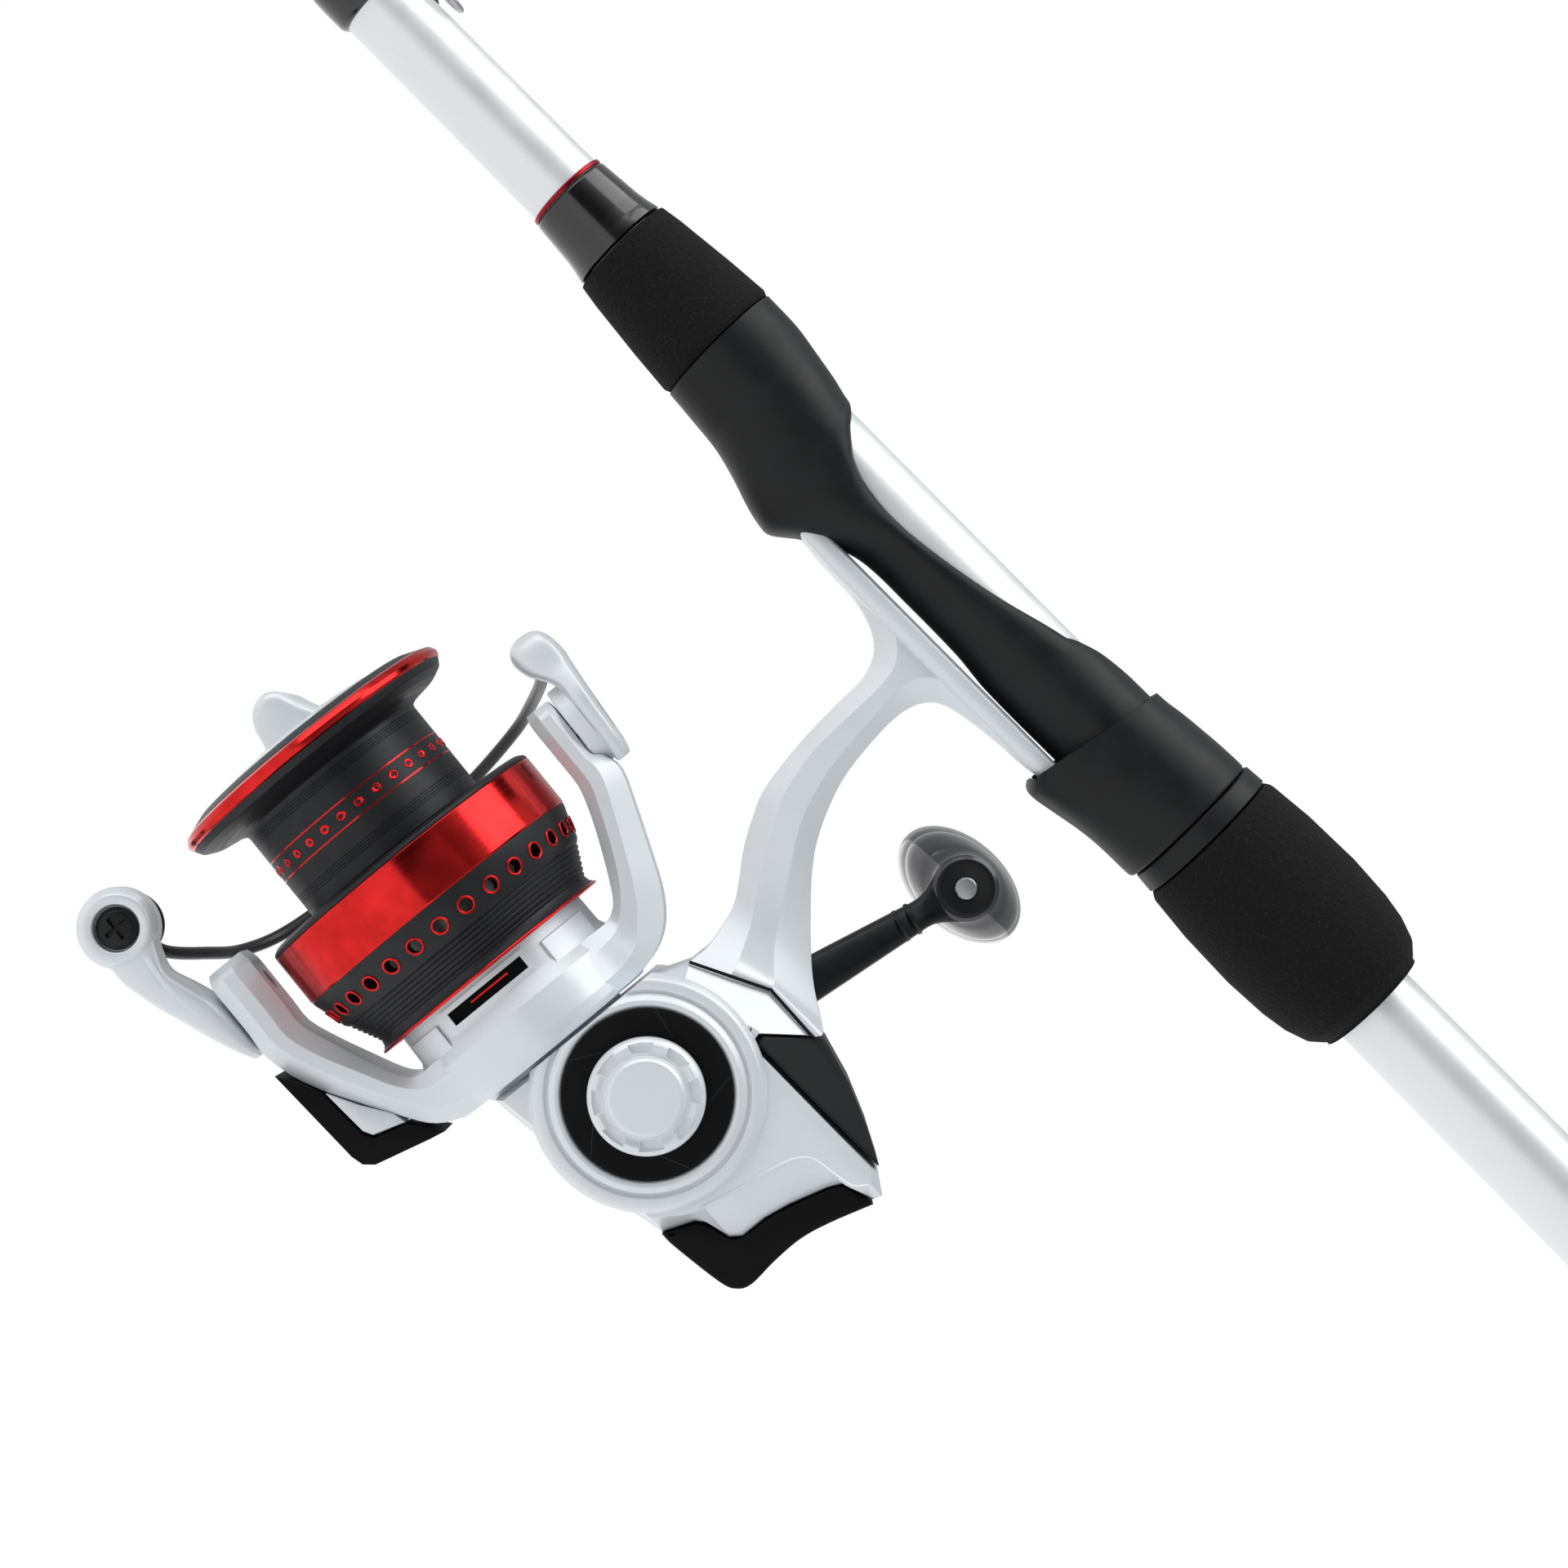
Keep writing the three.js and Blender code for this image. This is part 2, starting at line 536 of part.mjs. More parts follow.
/** Worm that carries the slider to and fro, with grooves turned in its length. */
function wormShaft() {
  const groove = Array.from({ length: 5 }, (_, i) => -30 + i * 4).flatMap((x) => [
    [x, WORM_RADIUS], [x + 0.5, 1.3], [x + 1.3, 1.3], [x + 1.8, WORM_RADIUS],
  ]);
  return turned([
    [-31.3, 0], [-31.3, WORM_RADIUS], ...groove, [-9.2, WORM_RADIUS], [-9.2, 1.2], [-2.9, 1.2], [-2.9, 0],
  ], 14).translate(0, WORM_Y, WORM_Z);
}

addPart(reel, 'worm_shaft', wormShaft(), STEEL);
addPart(reel, 'worm_gear', toothed([
  [-6.3, 1.5], [-6.3, 3.9], [-3.1, 3.9], [-3.1, 1.5],
], 16, WORM_TEETH, -6.2, -3.2, 3.9, 0.7).translate(0, WORM_Y, WORM_Z), BLACK);

/**
 * The slider sits on the rear end of the main shaft and reaches round the worm.
 * It runs below the crank's bearing.
 */
function slider() {
  return cut(
    block([-31.2, -10.1, -2.75], [-26.6, 3.4, 2.8]),
    turned(pin(-33, -20, WORM_RADIUS + GAP), 16).translate(0, WORM_Y, WORM_Z),
    turned(pin(-30.1, -20, SHAFT_RADIUS + GAP), 16),
  );
}

addPart(reel, 'slider', slider(), BLACK);
addPart(reel, 'main_shaft', turned(pin(-29.8, 60, SHAFT_RADIUS), 16), STEEL);
addPart(reel, 'click_gear', turned(tube(28, 30.4, SHAFT_RADIUS + GAP, 8.5), 20), BLACK);

// ---------------------------------------------------------------- rotor

const ARM_HALF = 9;
const ARM_TIP_HALF = 6.2;

const TOP_ARM = [
  [0.2, 14.6], [0.3, 17.8], [1.5, 21.4], [4, 24.4], [8, 27], [13, 29], [20, 31.8], [27, 33.9],
  [29.4, 33.2], [31, 31.8], [40.5, 31.7], [40.4, 27.5], [27, 27.1], [24.5, 26.4], [15, 22.5],
  [10, 20.2], [8, 18], [8, 14.6],
];
const BOTTOM_ARM = [
  [0.2, -14.6], [0.3, -17], [1.2, -19.6], [7, -24], [19, -31.6], [25.5, -33.2], [30.5, -33.8],
  [40.5, -33.7], [40.4, -27.4], [26, -26.6], [8, -19], [8, -14.6],
];

/** A rotor arm: wide at the rotor, narrower and rounded at the bail pivot. */
function rotorArm(outline, tipLow, tipHigh) {
  const wide = common(plate(outline, -ARM_HALF, ARM_HALF), block([0, -20, -60], [19, 20, 60]));
  const narrow = common(plate(outline, -ARM_TIP_HALF, ARM_TIP_HALF), block([16, -20, -60], [36, 20, 60]));
  const round = turnedZ(pin(tipLow, tipHigh, 7.6), BAIL_X, 0, 20);
  return join(wide, narrow, round);
}

function rotor() {
  const cup = turned([
    [0, 13.9], [0, 17.6], [2.5, 18.2], [8, 18], [15, 17.3], [34, 17.1], [34, 15.4], [19, 15.4],
    [19, 3.9], [15.6, 3.9], [15.6, 13.9],
  ], 32);
  const clear = turned(pin(-1, 15.6, 13.9), 32);
  const springPocket = onBottomArm(block([-4.6, -2, -8], [4.6, 2, 1]));
  const bailSeat = turnedZ(pin(31.7, 40, 7.4), BAIL_X, 0, 24);
  const pivots = [pin(28.2, 40, 1.8), pin(-40, -28.2, 1.8)].map((hole) => turnedZ(hole, BAIL_X, 0, 12));
  return cut(
    join(cup, rotorArm(TOP_ARM, 27.5, 31.7), rotorArm(BOTTOM_ARM, -33.7, -27.4)),
    clear, springPocket, bailSeat, ...pivots,
  );
}

/** Moves a shape drawn round the origin to the middle of the bottom arm's slope. */
const onBottomArm = (geometry) =>
  geometry.rotateY(THREE.MathUtils.degToRad(32)).translate(12.8, 0, -24.35);

/** Bail spring: a short coil that lies in the bottom arm's pocket. */
function bailSpring() {
  const turns = 5;
  const perTurn = 6;
  const coil = 1.2;
  const points = Array.from({ length: turns * perTurn + 1 }, (_, i) => {
    const angle = (2 * Math.PI * i) / perTurn;
    return [-4 + (8 * i) / (turns * perTurn), coil * Math.cos(angle), -0.85 + coil * Math.sin(angle)];
  });
  return onBottomArm(bar(points, 0.3, 4, turns * perTurn));
}

const ARM_BUMPER = [
  [23.6, -34.35], [6.2, -33], [4.4, -32.5], [3.3, -31.1], [1, -22.4], [0.4, -19.6], [2.7, -21.9],
  [4.8, -23.7], [6.3, -28.9], [7.8, -29.7], [16.5, -30.4], [20, -32.3], [22.8, -33.1],
];
const ARM_COVER = [[5.3, -23.6], [6.8, -28.5], [8.1, -29.3], [15.4, -29.9], [7.2, -24.6]];

addPart(reel, 'rotor', rotor(), PEARL);
addPart(reel, 'rotor_nut', cut(turned(pin(19.3, 23.4, 7), 6), turned(pin(18, 25, 3.9), 16)), STEEL);
addPart(reel, 'arm_bumper', plate(ARM_BUMPER, -7.5, 7.5), RUBBER);
addPart(reel, 'arm_cover', plate(ARM_COVER, -7, 7), PEARL);
addPart(reel, 'bail_spring', bailSpring(), STEEL);

// ---------------------------------------------------------------- bail

function topBailArm() {
  const side = plate([
    [27.4, 34.3], [41.8, 34.3], [43.7, 33.6], [45, 31.6], [47.5, 31], [49.9, 31.6], [50.5, 33.5],
    [50.4, 36.3], [48.9, 37.7], [46, 38.2], [40, 37.8], [33, 37.2], [29.3, 36.8],
  ], -6.2, 6.2);
  const slim = block([42, -6.2, 30], [52, 3.5, 39]);
  const rear = block([27, -7, 30], [42.1, 7, 39]);
  const seat = turnedZ(pin(32.1, 35.4, 7), BAIL_X, 0, 24);
  const screwHole = join(
    turnedZ(pin(30, 40, 1.8), BAIL_X, 0, 12),
    turnedZ(pin(36, 40, 3.3), BAIL_X, 0, 16),
  );
  return cut(join(common(side, join(slim, rear)), seat), screwHole, wireEnd());
}

/** The hole in the top arm's hook that takes the end of the wire. */
const wireEnd = () => (
  bar([[44.3, -18, 32.2], [45.6, -11, 33.4], [46.7, -1.5, 34.4]], WIRE_RADIUS + 0.45, 10, 6)
);

function rollerArm() {
  const rear = plate([
    [26.4, -34.3], [41.4, -34.1], [41.6, -36], [45, -36.9], [46.5, -37.2], [46.5, -43], [42, -41.5],
    [33, -38.2], [28, -36.1],
  ], -6, 6);
  const neck = plate([
    [38, -35.6], [45, -36.9], [49, -35.8], [52, -36], [56, -44.5], [52, -44.4], [47, -43.3], [38, -40.3],
  ], -0.8, 5.4);
  const boss = turnedY([[-0.8, 0], [-0.8, 6.1], [4.2, 6.1], [5.4, 5], [5.4, 0]], ROLLER_X, ROLLER_Z, 24);
  const recess = turnedY(pin(3.2, 8, 3.5), ROLLER_X, ROLLER_Z, 20);
  const hole = turnedY(pin(-3, 5, 1.7), ROLLER_X, ROLLER_Z, 12);
  const pivot = join(
    turnedZ(pin(-50, -30, 1.8), BAIL_X, 0, 12),
    turnedZ(pin(-50, -36.6, 3.3), BAIL_X, 0, 16),
  );
  return cut(join(rear, neck, boss), recess, hole, pivot);
}

/** Bail wire: a tapered foot on the roller's screw, then one sweep round the spool's handle side. */
function bailWire() {
  const path = [
    [53.6, -12, -39], [48.8, -14.5, -38.4], [44.7, -24, -34.6], [42, -33, -31], [40.3, -41, -24.5],
    [39.8, -47, -12], [40, -49, 0], [40.6, -47, 12.5], [42, -39, 23.3], [43.2, -30, 28.4],
    [44.3, -18, 32.2], [45.6, -11, 33.4], [46.55, -2.8, 34.25],
  ];
  const coneProfile = [[-13.6, 0], [-13.2, 2.6], [-10.2, 4.4], [-9.7, 4.4], [-9.7, 0]];
  const cone = turnedY(coneProfile, ROLLER_X, ROLLER_Z, 20);
  const screwHole = turnedY(pin(-12.5, -9, 1.4), ROLLER_X, ROLLER_Z, 12);
  return cut(join(bar(path, WIRE_RADIUS, 8, 44), cone), screwHole);
}

function pivotScrew(headLow, headHigh, tip) {
  const profile = [[tip, 0], [tip, 1.5], [headLow, 1.5], [headLow, 3], [headHigh, 3], [headHigh, 0]];
  return turnedZ(profile, BAIL_X, 0, 16);
}

addPart(reel, 'bail_arm', topBailArm(), PEARL);
addPart(reel, 'roller_arm', rollerArm(), PEARL);
addPart(reel, 'bail_wire', bailWire(), GUNMETAL);
addPart(reel, 'line_roller', turnedY([
  [-9.3, 1.6], [-9.3, 5.2], [-8.6, 5.2], [-7.4, 4], [-3.4, 4], [-2.2, 5.2], [-1.3, 5.2], [-1.3, 1.6],
], ROLLER_X, ROLLER_Z, 20), GUNMETAL);
addPart(reel, 'roller_screw', turnedY([
  [-11.8, 0], [-11.8, 1.1], [3.5, 1.1], [3.5, 3.1], [4.9, 3.1], [4.9, 0],
], ROLLER_X, ROLLER_Z, 16), BLACK);
addPart(reel, 'pivot_screw_top', pivotScrew(36.3, 37.2, 28.6), STEEL);
addPart(reel, 'pivot_screw_bottom', pivotScrew(-36.9, -38.2, -28.6), STEEL);

// ---------------------------------------------------------------- spool and drag

addPart(reel, 'spool', turned([
  [37.4, SHAFT_RADIUS + GAP], [37.4, 6], [44, 6], [44, 14], [37.4, 14], [37.4, ARBOR_RADIUS],
  [52.6, ARBOR_RADIUS], [53.4, 17], [54, 21], [54.8, 22.3], [56.2, 23.3], [57, LIP_RADIUS],
  [57.7, 23.2], [59.3, 19.4], [59.3, 17.2], [57.6, 17.2], [57.6, 12.8], [46.4, 12.8],
  [46.4, SHAFT_RADIUS + GAP],
], 32), BLACK);
addPart(reel, 'spool_skirt', turned([
  [36.9, 14.4], [36.9, 23.4], [36.2, 24], [27.5, 24], [25.5, 23.2], [22, 22.2], [20.4, 21], [18.6, 20.2],
  [16.4, 19.4], [15, 20.2], [15, 18.1], [21, 18.1], [25.5, 20.8], [33.6, 22], [35.6, 20], [35.6, 14.4],
], 32), RED);
addPart(reel, 'drag_washers', turned(tube(46.8, 54.6, 2.6, 12.4), 24), FELT);

function dragKnob() {
  const disc = turned([
    [60.9, 0], [60.9, 2.3], [55, 2.3], [55, 12.3], [58, 12.3], [58, 16.8], [60.4, 16.6], [61.5, 15.4],
    [61.9, 0],
  ], 32);
  const grip = plate([
    [61, -6.4], [61, 3.8], [64.5, 3.2], [66.6, 2.2], [67.3, 0], [67, -2.2], [65, -4.6],
  ], -13, 13);
  return join(disc, grip);
}

addPart(reel, 'drag_knob', dragKnob(), PEARL);

// ---------------------------------------------------------------- handle

/** Points of the handle are [along the arm, y]; this turns a part drawn upright into place. */
const onCrank = (geometry) => geometry.rotateY(CRANK_LEAN).translate(CRANK_X, 0, CRANK_Z);

function handleShaft() {
  return join(
    crankTurned(pin(-33, 6, SHANK_RADIUS), 6),
    crankTurned([[-33, 0], [-33, 4.2], [-18.5, 5.4], [-17.4, 5.4], [-17.4, 0]], 20),
  );
}

function handleArm() {
  const side = [
    [-31.2, -6.5], [-38.2, -6.5], [-40.2, 6], [-55.4, 48], [-57, 52], [-57, 62.2], [-52.2, 62.2],
    [-51.8, 50], [-36.4, 9], [-33.6, 4],
  ];
  const profile = plate(side, -6.6, 6.6).rotateZ(Math.PI / 2);
  const front = new THREE.Shape();
  front.absarc(0, 0, 6.5, Math.PI, 2 * Math.PI);
  front.lineTo(4.6, 8);
  front.lineTo(2.3, 51.5);
  front.absarc(0, CRANK_LENGTH, 5.4, -0.9, Math.PI + 0.9);
  front.lineTo(-2.3, 51.5);
  front.lineTo(-4.6, 8);
  const options = { depth: 80, curveSegments: 10, bevelEnabled: false };
  const outline = new THREE.ExtrudeGeometry(front, options).rotateX(Math.PI / 2);
  const pinHole = turnedY(pin(-60, -50, 2.1), 0, CRANK_LENGTH, 14);
  const socket = turnedY([[-35, 0], [-35, 3.2], [-33.3, 4.5], [-30, 4.7], [-30, 0]], 0, 0, 20);
  return onCrank(cut(common(profile, outline), pinHole, socket));
}

function handleKnob() {
  const paddle = new THREE.SphereGeometry(1, 20, 14).scale(12, 14.6, 7.7).rotateY(KNOB_TURN)
    .translate(0, -75, CRANK_LENGTH);
  const collarProfile = [[-70, 0], [-70, 5.6], [-60, 5.4], [-57.4, 4.8], [-57.4, 0]];
  const collar = turnedY(collarProfile, 0, CRANK_LENGTH, 20);
  const bore = turnedY(pin(-82, -50, 1.8 + GAP), 0, CRANK_LENGTH, 14);
  return onCrank(cut(join(paddle, collar), bore));
}

function screwCap() {
  const cap = turned([
    [6.4, 0], [6.4, 2], [14.8, 2], [14.8, 3.9], [17.7, 3.9], [17.7, 8.3], [22.8, 8.6], [23.9, 7.9],
    [23.9, 0],
  ], 32);
  const notches = Array.from({ length: 8 }, (_, i) =>
    turned(pin(19.6, 26, 1.3), 10).translate(0, 0, 9.2).rotateX((Math.PI / 4) * i));
  return cut(cap, ...notches).rotateZ(Math.PI / 2).translate(CRANK_X, 0, CRANK_Z);
}

addPart(reel, 'handle_shaft', handleShaft(), STEEL);
addPart(reel, 'handle_arm', handleArm(), BLACK);
addPart(reel, 'handle_knob', handleKnob(), SMOKE);
addPart(reel, 'knob_pin', onCrank(turnedY([
  [-80, 0], [-80, 1.8], [-51.6, 1.8], [-51.6, 0],
], 0, CRANK_LENGTH, 14)), STEEL);
addPart(reel, 'screw_cap', screwCap(), PEARL);
addPart(reel, 'bearing_cover', crankTurned([
  [14.9, 4.3], [14.9, BEARING_RADIUS - 0.1], [16.9, BEARING_RADIUS - 0.1], [16.9, 12.5], [17.4, 12.5],
  [17.4, 4.3],
], 32), BLACK);

export default rod;
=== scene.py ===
"""Looks of a two-piece spinning rod with its fixed-spool reel.

Pieces are drawn in millimetres. The camera, the floor and the lights are placed in metres.
Rod pieces are drawn in the rod's own frame, reel pieces in the reel's frame: X along the spool axis
from the rotor's rear plane, Z towards the rod, Y towards the cap side.
"""

import json
import math

import bmesh
import bpy
from mathutils import Matrix, Vector


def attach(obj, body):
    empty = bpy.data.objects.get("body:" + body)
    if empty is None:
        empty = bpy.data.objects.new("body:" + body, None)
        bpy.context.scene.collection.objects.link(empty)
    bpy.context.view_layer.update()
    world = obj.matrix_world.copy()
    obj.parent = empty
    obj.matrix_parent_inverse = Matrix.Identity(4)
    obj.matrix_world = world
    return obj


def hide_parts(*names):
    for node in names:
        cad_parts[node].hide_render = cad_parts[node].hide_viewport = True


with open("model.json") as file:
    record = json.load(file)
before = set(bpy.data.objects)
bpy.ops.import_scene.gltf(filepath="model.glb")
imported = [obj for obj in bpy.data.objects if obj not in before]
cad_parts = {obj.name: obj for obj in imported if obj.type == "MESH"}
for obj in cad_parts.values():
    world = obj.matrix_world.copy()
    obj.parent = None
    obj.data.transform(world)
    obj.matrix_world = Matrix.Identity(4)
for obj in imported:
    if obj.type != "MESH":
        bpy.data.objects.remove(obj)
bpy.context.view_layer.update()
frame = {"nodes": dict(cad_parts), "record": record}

MM = 0.001
SEAT_X = 330.0                      # origin of the reel seat, from the butt
RECORD = frame["record"]
JOINTS = {joint["name"]: joint for joint in RECORD["behaviour"]["joints"]}

ROD = Matrix.Scale(MM, 4)
SEAT = Matrix.Translation((SEAT_X * MM, 0, 0)) @ ROD
SPIN = JOINTS["rotor_spin"]
REEL_TILT = math.atan2(SPIN["axis"][2], SPIN["axis"][0])
REEL = Matrix.Translation(SPIN["pos_m"]) @ Matrix.Rotation(-REEL_TILT, 4, "Y") @ ROD

BLANK_BUTT_RADIUS = 7.62
BLANK_TAPER = 0.00345               # loss of radius per millimetre of length
ROD_LENGTH = 1829.0
FERRULE_X = 930.0                   # where the tip section starts
CRANK_X, CRANK_Z = -13.85, 7.35     # axis of the handle
CRANK_LENGTH = 56.8                 # from that axis to the knob's pin
CRANK_LEAN = math.atan2(-9.35, 56.05)
BAIL_X = 34.5                       # hinge of the bail
ROLLER_X, ROLLER_Z = 54.5, -39.0    # axis of the line roller
ARBOR_RADIUS = 15.7


# ---------------------------------------------------------------- camera

FRAME_WIDTH = 0.2341                # metres seen across the frame at the rod's own plane
CAMERA_DISTANCE = 0.62
VIEW_CENTRE = Vector((0.32986, 0, -0.0393))
VIEW_RIGHT = Vector((-0.7046, 0, 0.7096))
VIEW_UP = Vector((0.7096, 0, 0.7046))
SENSOR = 36.0


def make_camera():
    right = VIEW_RIGHT.normalized()
    up = VIEW_UP.normalized()
    back = right.cross(up)
    camera = bpy.data.objects.new("camera", bpy.data.cameras.new("camera"))
    camera.data.sensor_width = SENSOR
    camera.data.lens = SENSOR * CAMERA_DISTANCE / FRAME_WIDTH
    camera.data.clip_start = 0.01
    camera.data.clip_end = 50
    turn = Matrix((right, up, back)).transposed().to_4x4()
    camera.matrix_world = Matrix.Translation(VIEW_CENTRE + back * CAMERA_DISTANCE) @ turn
    bpy.context.scene.collection.objects.link(camera)
    bpy.context.scene.camera = camera


make_camera()


# ---------------------------------------------------------------- shader helpers


class Shader:
    """A node material under construction."""

    def __init__(self, name):
        self.material = bpy.data.materials.new(name)
        self.material.use_nodes = True
        self.nodes = self.material.node_tree.nodes
        self.links = self.material.node_tree.links
        self.surface = self.nodes["Principled BSDF"]

    def add(self, kind, **settings):
        node = self.nodes.new(kind)
        for key, value in settings.items():
            setattr(node, key, value)
        return node

    def link(self, source, target):
        self.links.new(source, target)

    def constant(self, **values):
        """Sets the surface's own sockets."""
        for key, value in values.items():
            self.surface.inputs[key.replace("_", " ")].default_value = value

    def position(self):
        return self.add("ShaderNodeTexCoord").outputs["Object"]

    def noise(self, scale, detail=2.0, vector=None, rough=0.5):
        """Noise whose scale is in cells per metre."""
        node = self.add("ShaderNodeTexNoise")
        node.inputs["Scale"].default_value = scale
        node.inputs["Detail"].default_value = detail
        node.inputs["Roughness"].default_value = rough
        self.link(vector or self.position(), node.inputs["Vector"])
        return node.outputs["Fac"]

    def cells(self, scale, output="Distance"):
        node = self.add("ShaderNodeTexVoronoi")
        node.inputs["Scale"].default_value = scale
        self.link(self.position(), node.inputs["Vector"])
        return node.outputs[output]

    def along(self, axis):
        """Distance along an axis, as a vector that varies in that direction only."""
        dot = self.add("ShaderNodeVectorMath", operation="DOT_PRODUCT")
        self.link(self.position(), dot.inputs[0])
        dot.inputs[1].default_value = axis
        combine = self.add("ShaderNodeCombineXYZ")
        self.link(dot.outputs["Value"], combine.inputs["X"])
        return combine.outputs["Vector"]

    def spread(self, value, low, high, start=0.3, end=0.7):
        """Maps a noise value to a range."""
        node = self.add("ShaderNodeMapRange")
        node.inputs["From Min"].default_value = start
        node.inputs["From Max"].default_value = end
        node.inputs["To Min"].default_value = low
        node.inputs["To Max"].default_value = high
        self.link(value, node.inputs["Value"])
        return node.outputs["Result"]

    def colours(self, value, *stops):
        """A colour ramp: stops are (position, (r, g, b))."""
        ramp = self.add("ShaderNodeValToRGB")
        elements = ramp.color_ramp.elements
        elements[0].position, elements[0].color = stops[0][0], (*stops[0][1], 1)
        elements[1].position, elements[1].color = stops[-1][0], (*stops[-1][1], 1)
        for place, colour in stops[1:-1]:
            elements.new(place).color = (*colour, 1)
        self.link(value, ramp.inputs["Fac"])
        return ramp.outputs["Color"]

    def paint(self, colour):
        self.link(colour, self.surface.inputs["Base Color"])

    def bump(self, height, strength, depth):
        """Bump whose full height is depth millimetres."""
        node = self.add("ShaderNodeBump")
        node.inputs["Strength"].default_value = strength
        node.inputs["Distance"].default_value = depth * MM
        self.link(height, node.inputs["Height"])
        if self.surface.inputs["Normal"].is_linked:
            self.link(self.surface.inputs["Normal"].links[0].from_socket, node.inputs["Normal"])
        self.link(node.outputs["Normal"], self.surface.inputs["Normal"])


PEARL_CONTRAST = 0.014              # how much the flakes differ from the tint
THREAD_PITCH = 0.25


def pearl(name, tint=(0.78, 0.83, 0.865), shine=0.36, metal=0.22):
    """Pearl white lacquer: fine flake, slow change of tone, orange peel under a clear coat."""
    shader = Shader(name)
    cloud = shader.noise(160, 3)
    light = tuple(min(1, channel + PEARL_CONTRAST) for channel in tint)
    dark = tuple(channel - PEARL_CONTRAST for channel in tint)
    sparkle = shader.cells(5200, "Color")
    split = shader.add("ShaderNodeSeparateColor")
    shader.link(sparkle, split.inputs["Color"])
    blend = shader.add("ShaderNodeMath", operation="MULTIPLY_ADD")
    shader.link(split.outputs["Red"], blend.inputs[0])
    blend.inputs[1].default_value = 0.5
    shader.link(cloud, blend.inputs[2])
    shader.paint(shader.colours(blend.outputs["Value"], (0.35, dark), (0.75, tint), (1.0, light)))
    shader.link(shader.spread(cloud, shine - 0.04, shine + 0.06), shader.surface.inputs["Roughness"])
    shader.constant(Metallic=metal, Coat_Weight=0.3, Coat_Roughness=0.2, Specular_IOR_Level=0.4)
    shader.bump(shader.noise(900, 2), 0.07, 0.02)
    return shader.material


def soft_touch(name, colour, rough=0.5, gloss=0.25):
    """Rubberised paint: a faint grain and slightly uneven gloss."""
    shader = Shader(name)
    grain = shader.noise(5200, 3)
    cloud = shader.noise(210, 3)
    dark = tuple(channel * 0.8 for channel in colour)
    light = tuple(channel * 1.25 for channel in colour)
    shader.paint(shader.colours(cloud, (0.3, dark), (0.7, light)))
    shader.link(shader.spread(cloud, rough - 0.05, rough + 0.07), shader.surface.inputs["Roughness"])
    shader.constant(Specular_IOR_Level=gloss)
    shader.bump(grain, 0.25, 0.03)
    return shader.material


def foam(name):
    """Dense black foam: open cells with pale flecks."""
    shader = Shader(name)
    pores = shader.cells(1500)
    flecks = shader.noise(2600, 4, rough=0.7)
    shader.paint(shader.colours(flecks, (0.45, (0.0035, 0.0035, 0.0033)), (0.62, (0.009, 0.009, 0.0085)),
                                (0.74, (0.045, 0.045, 0.042))))
    shader.link(shader.spread(flecks, 0.82, 1.0), shader.surface.inputs["Roughness"])
    shader.constant(Specular_IOR_Level=0.25)
    shader.bump(pores, 0.6, 0.25)
    shader.bump(flecks, 0.5, 0.12)
    return shader.material


def turned_metal(name, axis, colour, rough, metallic=1.0, lines=0.35, coat=0.0):
    """Anodised or plated metal with fine lathe lines round an axis."""
    shader = Shader(name)
    rings = shader.noise(3500, 3, shader.along(axis))
    cloud = shader.noise(240, 2)
    dark = tuple(channel * 0.82 for channel in colour)
    light = tuple(min(1, channel * 1.12) for channel in colour)
    shader.paint(shader.colours(cloud, (0.3, dark), (0.7, light)))
    shader.link(shader.spread(rings, rough - 0.05, rough + 0.08), shader.surface.inputs["Roughness"])
    shader.constant(Metallic=metallic, Coat_Weight=coat, Coat_Roughness=0.08)
    shader.bump(rings, lines, 0.012)
    return shader.material


def wound_thread(name, axis):
    """Rod winding: close turns of black thread under clear, slightly wavy epoxy."""
    shader = Shader(name)
    wave = shader.add("ShaderNodeTexWave", wave_type="BANDS", bands_direction="X", wave_profile="SIN")
    wave.inputs["Scale"].default_value = 2 * math.pi / (20 * THREAD_PITCH * MM)
    shader.link(shader.along(axis), wave.inputs["Vector"])
    shader.paint(shader.colours(wave.outputs["Fac"], (0.0, (0.002, 0.002, 0.002)),
                                (1.0, (0.006, 0.006, 0.007))))
    shader.link(shader.spread(shader.noise(120), 0.16, 0.24), shader.surface.inputs["Roughness"])
    shader.constant(Coat_Weight=0.6, Coat_Roughness=0.05)
    shader.bump(wave.outputs["Fac"], 0.15, 0.05)
    shader.bump(shader.noise(110, 1), 0.3, 0.25)
    return shader.material


def smoked(name, clear, dark, light, coat=0.8):
    """Smoke-tinted moulded plastic with a glossy skin."""
    shader = Shader(name)
    cloud = shader.noise(90, 2)
    shader.paint(shader.colours(cloud, (0.3, dark), (0.7, light)))
    shader.link(shader.spread(cloud, 0.06, 0.12), shader.surface.inputs["Roughness"])
    shader.constant(Coat_Weight=coat, Coat_Roughness=0.04, Transmission_Weight=clear, IOR=1.49)
    shader.bump(shader.noise(400, 2), 0.08, 0.03)
    return shader.material


def felted(name):
    shader = Shader(name)
    fibres = shader.noise(3000, 5, rough=0.8)
    shader.paint(shader.colours(fibres, (0.3, (0.16, 0.16, 0.15)), (0.7, (0.34, 0.34, 0.31))))
    shader.constant(Roughness=0.95)
    shader.bump(fibres, 0.8, 0.2)
    return shader.material


ROD_AXIS = (1, 0, 0)
REEL_AXIS = tuple(SPIN["axis"])
CRANK_AXIS = (0, 1, 0)

